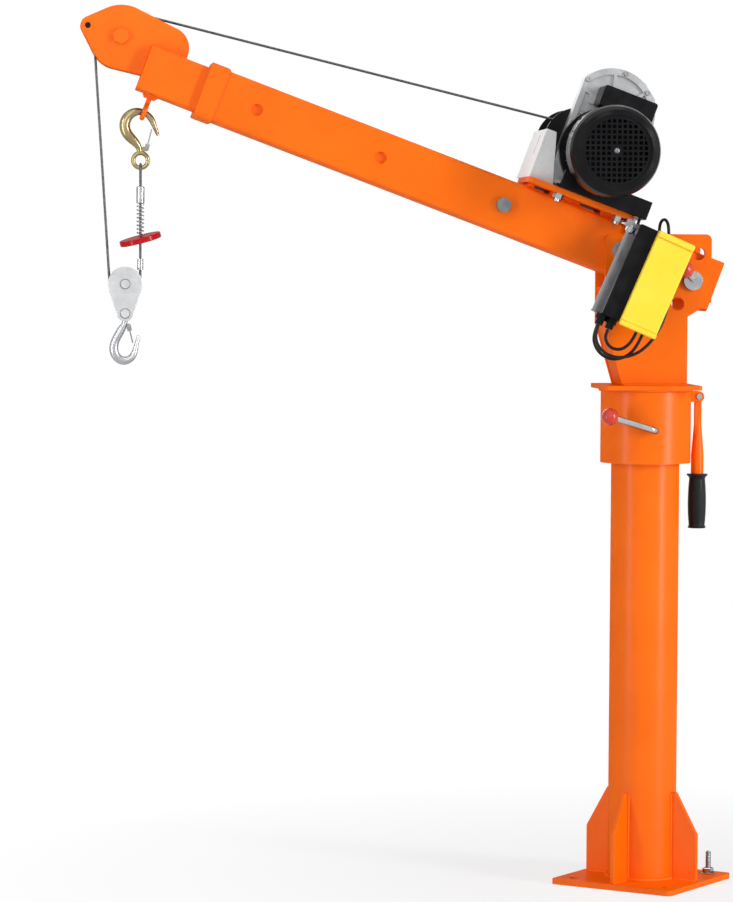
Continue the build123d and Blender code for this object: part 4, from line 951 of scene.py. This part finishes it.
# the grip's radius at each height over its foot: a round end, the belly and the collar
GRIP_PROFILE = [
    (ON_AXIS, 0),
    (0.0152, 0),
    (0.0165, 0.0006),
    (0.0168, 0.0022),
    (0.0156, 0.0040),
    (0.0149, 0.0060),
    (0.0158, 0.0160),
    (0.0166, 0.0300),
    (0.0170, 0.0450),
    (0.0168, 0.0600),
    (0.0161, 0.0760),
    (0.0150, 0.0900),
    (0.0147, 0.0930),
    (0.0166, 0.0965),
    (0.0192, 0.0985),
    (0.0195, 0.1000),
    (0.0191, 0.1014),
    (0.0132, 0.1017),
    (ON_AXIS, 0.1017),
]
GRIP_SIDES = 168
FLUTES = 28
FLUTE_DEPTH = 0.022
FLUTE_LOW = 0.006
FLUTE_HIGH = 0.090
FLUTE_FADE = 0.010

FAN_SCREW_R = 0.0052
FAN_SCREW_Y = -0.2140
RIM_SCREWS = 4
RIM_SCREW_R = 0.0042
RIM_SCREW_Y = -0.160
RIM_SCREW_SINK = 0.0001
HOUSING_SCREW_R = 0.0045
HOUSING_SCREW_GAP = 0.0001
HOUSING_SCREWS = (
    (0.1705, 0.271),
    (0.1082, 0.3055),
    (0.1592, 0.209),
    (0.1705, 0.1865),
    (0.1705, 0.159),
    (0.058, 0.287),
)
BRACKET_SCREW = (0.0085, 0.0375)
BRACKET_SCREW_SINK = 0.0001
BRACKET_WASHER_R = 0.0084
BRACKET_WASHER_T = 0.0017
BRACKET_HEX_R = 0.0058
BRACKET_HEX_EDGE_R = 0.0052
BRACKET_HEX_EDGE = 0.0060
BRACKET_HEX_TOP = 0.0068
CAPACITOR_SCREW_R = 0.0034
CAPACITOR_TOP = 0.2679
CAPACITOR_SCREW_S = (0.050, 0.137)
CAPACITOR_SCREW_Y = (-0.064, -0.114)
# dark washers round the block's pins: the dark gap round each pin head, and a painted contact
# shadow there
BLOCK_SHADOW_WASHER_BORE = 0.0079
BLOCK_SHADOW_WASHER_R = 0.0096
BLOCK_SHADOW_WASHER_T = 0.0012
KEEPER = (1.0597, 0.0348)
KEEPER_R = 0.0051
KEEPER_CHAMFER = (0.0007, 0.0007)


def anchor_stud():
    """The stud, washer and nut in the right-hand hole of the base plate."""
    angle = BASE_TURN + QUARTER / 2
    spot = Vector((ANCHOR_R * math.cos(angle), ANCHOR_R * math.sin(angle), PLATE_TOP))
    washer = turned(
        ANCHOR_BORE, ANCHOR_WASHER_R, 0, ANCHOR_WASHER_T,
        under=(0.0003, 0.0004), over=(0.0006, 0.0004),
    )
    lathe("anchor_washer", washer, spot, UP, ZINC, "base")
    nut = turned(
        ANCHOR_BORE, ANCHOR_NUT_R, ANCHOR_WASHER_T, ANCHOR_NUT_TOP,
        under=(0.0007, 0.0008), over=(0.0010, 0.0012),
    )
    lathe("anchor_nut", nut, spot, UP, CHROME, "base", HEX_SIDES, hex_outline)
    thread = [(STUD_ROOT_R, STUD_FOOT)]
    for k in range(THREAD_TURNS):
        height = ANCHOR_NUT_TOP + k * THREAD_PITCH
        thread += [(STUD_ROOT_R, height), (STUD_CREST_R, height + THREAD_RISE)]
    thread += [(STUD_ROOT_R, THREAD_TOP), (STUD_TIP_R, STUD_TOP), (ON_AXIS, STUD_TOP)]
    lathe("anchor_stud", thread, spot, UP, CHROME, "base", SCREW_SIDES)


def flutes(height, angle):
    """Fine flutes along the grip's belly, which run out at both ends."""
    from_low = (height - FLUTE_LOW) / FLUTE_FADE
    from_high = (FLUTE_HIGH - height) / FLUTE_FADE
    share = max(0.0, min(1.0, from_low, from_high))
    return 1 - share * FLUTE_DEPTH * (0.5 + 0.5 * math.cos(FLUTES * angle))


def handle_grip():
    low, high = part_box("handle_grip")
    base = Vector(((low.x + high.x) / 2, 0, low.z))
    made = lathe(
        "fluted_grip", GRIP_PROFILE, base, UP, RUBBER, "slew_handle",
        GRIP_SIDES, flutes,
    )
    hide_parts("handle_grip")


def fan_screws():
    """The screw in the middle of the fan cover, and those in its rim."""
    axis = joint_at("motor_spin")
    low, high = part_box("fan_cover")
    rim = (high.z - low.z) / 2 - RIM_SCREW_SINK
    middle = at_depth(axis, FAN_SCREW_Y)
    pan_screw(
        "fan_centre_screw", middle, NEAR, FAN_SCREW_R, GREY_STEEL, "boom_outer"
    )
    for k in range(RIM_SCREWS):
        angle = QUARTER * (k + 0.5) - RAKE
        out = ALONG * math.cos(angle) + ACROSS * math.sin(angle)
        spot = at_depth(axis, RIM_SCREW_Y) + out * rim
        name = f"fan_rim_screw_{k}"
        pan_screw(name, spot, out, RIM_SCREW_R, BLACK_PAINT, "boom_outer")


def housing_screws():
    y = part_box("gear_housing")[0].y - HOUSING_SCREW_GAP
    for k, (s, n) in enumerate(HOUSING_SCREWS):
        name = f"housing_screw_{k}"
        spot = boom(s, n, y)
        cap_screw(name, spot, NEAR, HOUSING_SCREW_R, ZINC, "boom_outer")


def bracket_screw():
    """The hex screw and washer that hold the control bracket's riser."""
    spot = boom(*BRACKET_SCREW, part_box("control_bracket")[0].y + BRACKET_SCREW_SINK)
    washer = turned(
        ON_AXIS, BRACKET_WASHER_R, 0, BRACKET_WASHER_T,
        under=(0.0002, 0.0004), over=(0.0004, 0.0003),
    )
    lathe("bracket_washer", washer, spot, NEAR, ZINC, "boom_outer")
    head = [
        (ON_AXIS, BRACKET_WASHER_T),
        (BRACKET_HEX_R, BRACKET_WASHER_T),
        (BRACKET_HEX_R, BRACKET_HEX_EDGE),
        (BRACKET_HEX_EDGE_R, BRACKET_HEX_TOP),
        (ON_AXIS, BRACKET_HEX_TOP),
    ]
    lathe(
        "bracket_hex", head, spot, NEAR, CHROME, "boom_outer",
        HEX_SIDES, hex_outline,
    )


def capacitor_screws():
    spots = [(s, y) for y in CAPACITOR_SCREW_Y for s in CAPACITOR_SCREW_S]
    for k, (s, y) in enumerate(spots):
        name = f"capacitor_screw_{k}"
        spot = boom(s, CAPACITOR_TOP, y)
        pan_screw(name, spot, ACROSS, CAPACITOR_SCREW_R, ZINC, "boom_outer")


def block_shadow_washers():
    """Dark washers under the heads of the block's two pins, on both cheeks; their dark ring
    stands for the dark gap round each pin head and paints the contact shadow there.
    """
    profile = turned(
        BLOCK_SHADOW_WASHER_BORE, BLOCK_SHADOW_WASHER_R, 0, BLOCK_SHADOW_WASHER_T,
        under=(0.0003, 0.0003), over=(0.0004, 0.0003),
    )
    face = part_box("block_cheeks")[1].y
    pins = (BLOCK_AT, joint_at("load_hook_swing"))
    spots = [(pin, side) for pin in pins for side in (-1, 1)]
    for k, (pin, side) in enumerate(spots):
        name = f"block_shadow_washer_{k}"
        spot = at_depth(pin, side * face)
        lathe(name, profile, spot, FAR * side, GREY_STEEL, "hook_block")


def rope_keeper():
    """The dark pin through the nose of the two cheeks, which keeps the rope in the sheave."""
    profile = turned(ON_AXIS, KEEPER_R, 0, 2 * CHEEK_HALF, KEEPER_CHAMFER, KEEPER_CHAMFER)
    spot = boom(*KEEPER, -CHEEK_HALF)
    lathe("rope_keeper_pin", profile, spot, FAR, BLACK_PAINT, "boom_inner")


# stage, light and camera

CAMERA_AT = Vector((-1.21701, -6.79683, 1.15449))
CAMERA_YAW = math.radians(5.836)
CAMERA_PITCH = math.radians(2.915)
CAMERA_ROLL = math.radians(0.322)
FOCAL_PX = 3699.81
LONG_SIDE_PX = 902
SENSOR_MM = 36.0
VIEW_REACH = 60.0
SKY_TINT = (0.96, 0.98, 1.0, 1)
SKY_STRENGTH = 0.15
WHITE = (1, 1, 1, 1)
FLOOR_TINT = (0.9, 0.9, 0.9, 1)
FLOOR_REACH = 30.0
FLOOR_DROP = 0.0005
FADE_SHARES = (0.70, 1.0)
FADE_RADII = (0.3, 1.3)


def camera():
    ahead = Vector(
        (
            math.sin(CAMERA_YAW) * math.cos(CAMERA_PITCH),
            math.cos(CAMERA_YAW) * math.cos(CAMERA_PITCH),
            -math.sin(CAMERA_PITCH),
        )
    )
    right = Vector((math.cos(CAMERA_YAW), -math.sin(CAMERA_YAW), 0))
    up = right.cross(ahead)
    rolled = right * math.cos(CAMERA_ROLL) + up * math.sin(CAMERA_ROLL)
    upright = up * math.cos(CAMERA_ROLL) - right * math.sin(CAMERA_ROLL)
    data = bpy.data.cameras.new("camera")
    data.sensor_width = SENSOR_MM
    data.lens = FOCAL_PX / LONG_SIDE_PX * SENSOR_MM
    data.clip_end = VIEW_REACH
    made = bpy.data.objects.new("camera", data)
    made.matrix_world = Matrix((rolled, upright, -ahead)).transposed().to_4x4()
    made.location = CAMERA_AT
    bpy.context.scene.collection.objects.link(made)
    bpy.context.scene.camera = made


def seen_directly(nodes, links):
    """1 where a ray comes straight from the camera, a gloss or a glass."""
    rays = nodes.new("ShaderNodeLightPath")
    most = rays.outputs["Is Camera Ray"]
    for kind in ("Is Glossy Ray", "Is Transmission Ray"):
        larger = nodes.new("ShaderNodeMath")
        larger.operation = "MAXIMUM"
        links.new(most, larger.inputs[0])
        links.new(rays.outputs[kind], larger.inputs[1])
        most = larger.outputs[0]
    return most


def mixed(nodes, links, share, first, second, output):
    """Joins two shaders by a share, and ends the tree in the named output node."""
    mix = nodes.new("ShaderNodeMixShader")
    links.new(share, mix.inputs[0])
    links.new(first.outputs[0], mix.inputs[1])
    links.new(second.outputs[0], mix.inputs[2])
    links.new(mix.outputs[0], nodes.new(output).inputs[0])


def world():
    """A faint sky light behind a white backdrop."""
    made = bpy.data.worlds.new("studio")
    made.use_nodes = True
    nodes, links = made.node_tree.nodes, made.node_tree.links
    nodes.clear()
    light = nodes.new("ShaderNodeBackground")
    light.inputs["Color"].default_value = SKY_TINT
    light.inputs["Strength"].default_value = SKY_STRENGTH
    white = nodes.new("ShaderNodeBackground")
    white.inputs["Color"].default_value = WHITE
    white.inputs["Strength"].default_value = 1.0
    mixed(nodes, links, seen_directly(nodes, links), light, white, "ShaderNodeOutputWorld")
    bpy.context.scene.world = made


def floor_material():
    """Matte near the object, where its shadow lies, and white like the backdrop farther out."""
    made = bpy.data.materials.new("pale_floor")
    made.use_nodes = True
    nodes, links = made.node_tree.nodes, made.node_tree.links
    nodes.clear()
    matte = nodes.new("ShaderNodeBsdfDiffuse")
    matte.inputs["Color"].default_value = FLOOR_TINT
    white = nodes.new("ShaderNodeEmission")
    white.inputs["Strength"].default_value = 1.0
    distance = nodes.new("ShaderNodeVectorMath")
    distance.operation = "LENGTH"
    links.new(scaled_coords(nodes, links), distance.inputs[0])
    fade = spread(nodes, links, distance.outputs["Value"], *FADE_SHARES, *FADE_RADII)
    share = nodes.new("ShaderNodeMath")
    share.operation = "MULTIPLY"
    links.new(seen_directly(nodes, links), share.inputs[0])
    links.new(fade, share.inputs[1])
    mixed(nodes, links, share.outputs[0], matte, white, "ShaderNodeOutputMaterial")
    return made


def floor():
    corners = [(-1, -1, 0), (1, -1, 0), (1, 1, 0), (-1, 1, 0)]
    points = [Vector(corner) * FLOOR_REACH for corner in corners]
    ground = piece("studio_floor", points, [(0, 1, 2, 3)], floor_material(), None)
    ground.location.z = -FLOOR_DROP


def lamp(name, place, aim, width, height, power):
    data = bpy.data.lights.new(name, "AREA")
    data.shape = "RECTANGLE"
    data.size = width
    data.size_y = height
    data.energy = power
    made = bpy.data.objects.new(name, data)
    made.location = place
    way = Vector(aim) - Vector(place)
    made.rotation_mode = "QUATERNION"
    made.rotation_quaternion = way.to_track_quat("-Z", "Y")
    bpy.context.scene.collection.objects.link(made)


def lights():
    """Two tall strips for the streaks on the post, and broad lamps for all the rest."""
    boom_middle = (-0.3, 0, 1.0)
    lamp("key", (3.45, -2.94, 2.5), boom_middle, width=1.0, height=1.6, power=70.0)
    lamp("right_strip", (3.3, -2.75, 1.25), (0, 0, 0.8), width=0.45, height=2.4, power=94.0)
    lamp("left_strip", (-3.3, -1.75, 1.3), (-0.2, 0, 0.9), width=0.28, height=2.6, power=44.0)
    lamp("front_fill", (-1.8, -5.2, 3.0), boom_middle, width=3.0, height=2.4, power=48.0)
    lamp("overhead", (-0.8, -0.6, 4.2), (-0.4, 0, 1.0), width=3.0, height=3.0, power=42.0)
    lamp("back_fill", (-0.6, 3.6, 2.4), boom_middle, width=3.0, height=2.5, power=30.0)


dress_nodes()
reeve()
wind_drum()
limit_spring()
cables()
base_welds()
head_welds()
boom_welds()
anchor_stud()
handle_grip()
fan_screws()
housing_screws()
bracket_screw()
capacitor_screws()
block_shadow_washers()
rope_keeper()
world()
floor()
lights()
camera()
bpy.context.scene.view_settings.view_transform = "Standard"
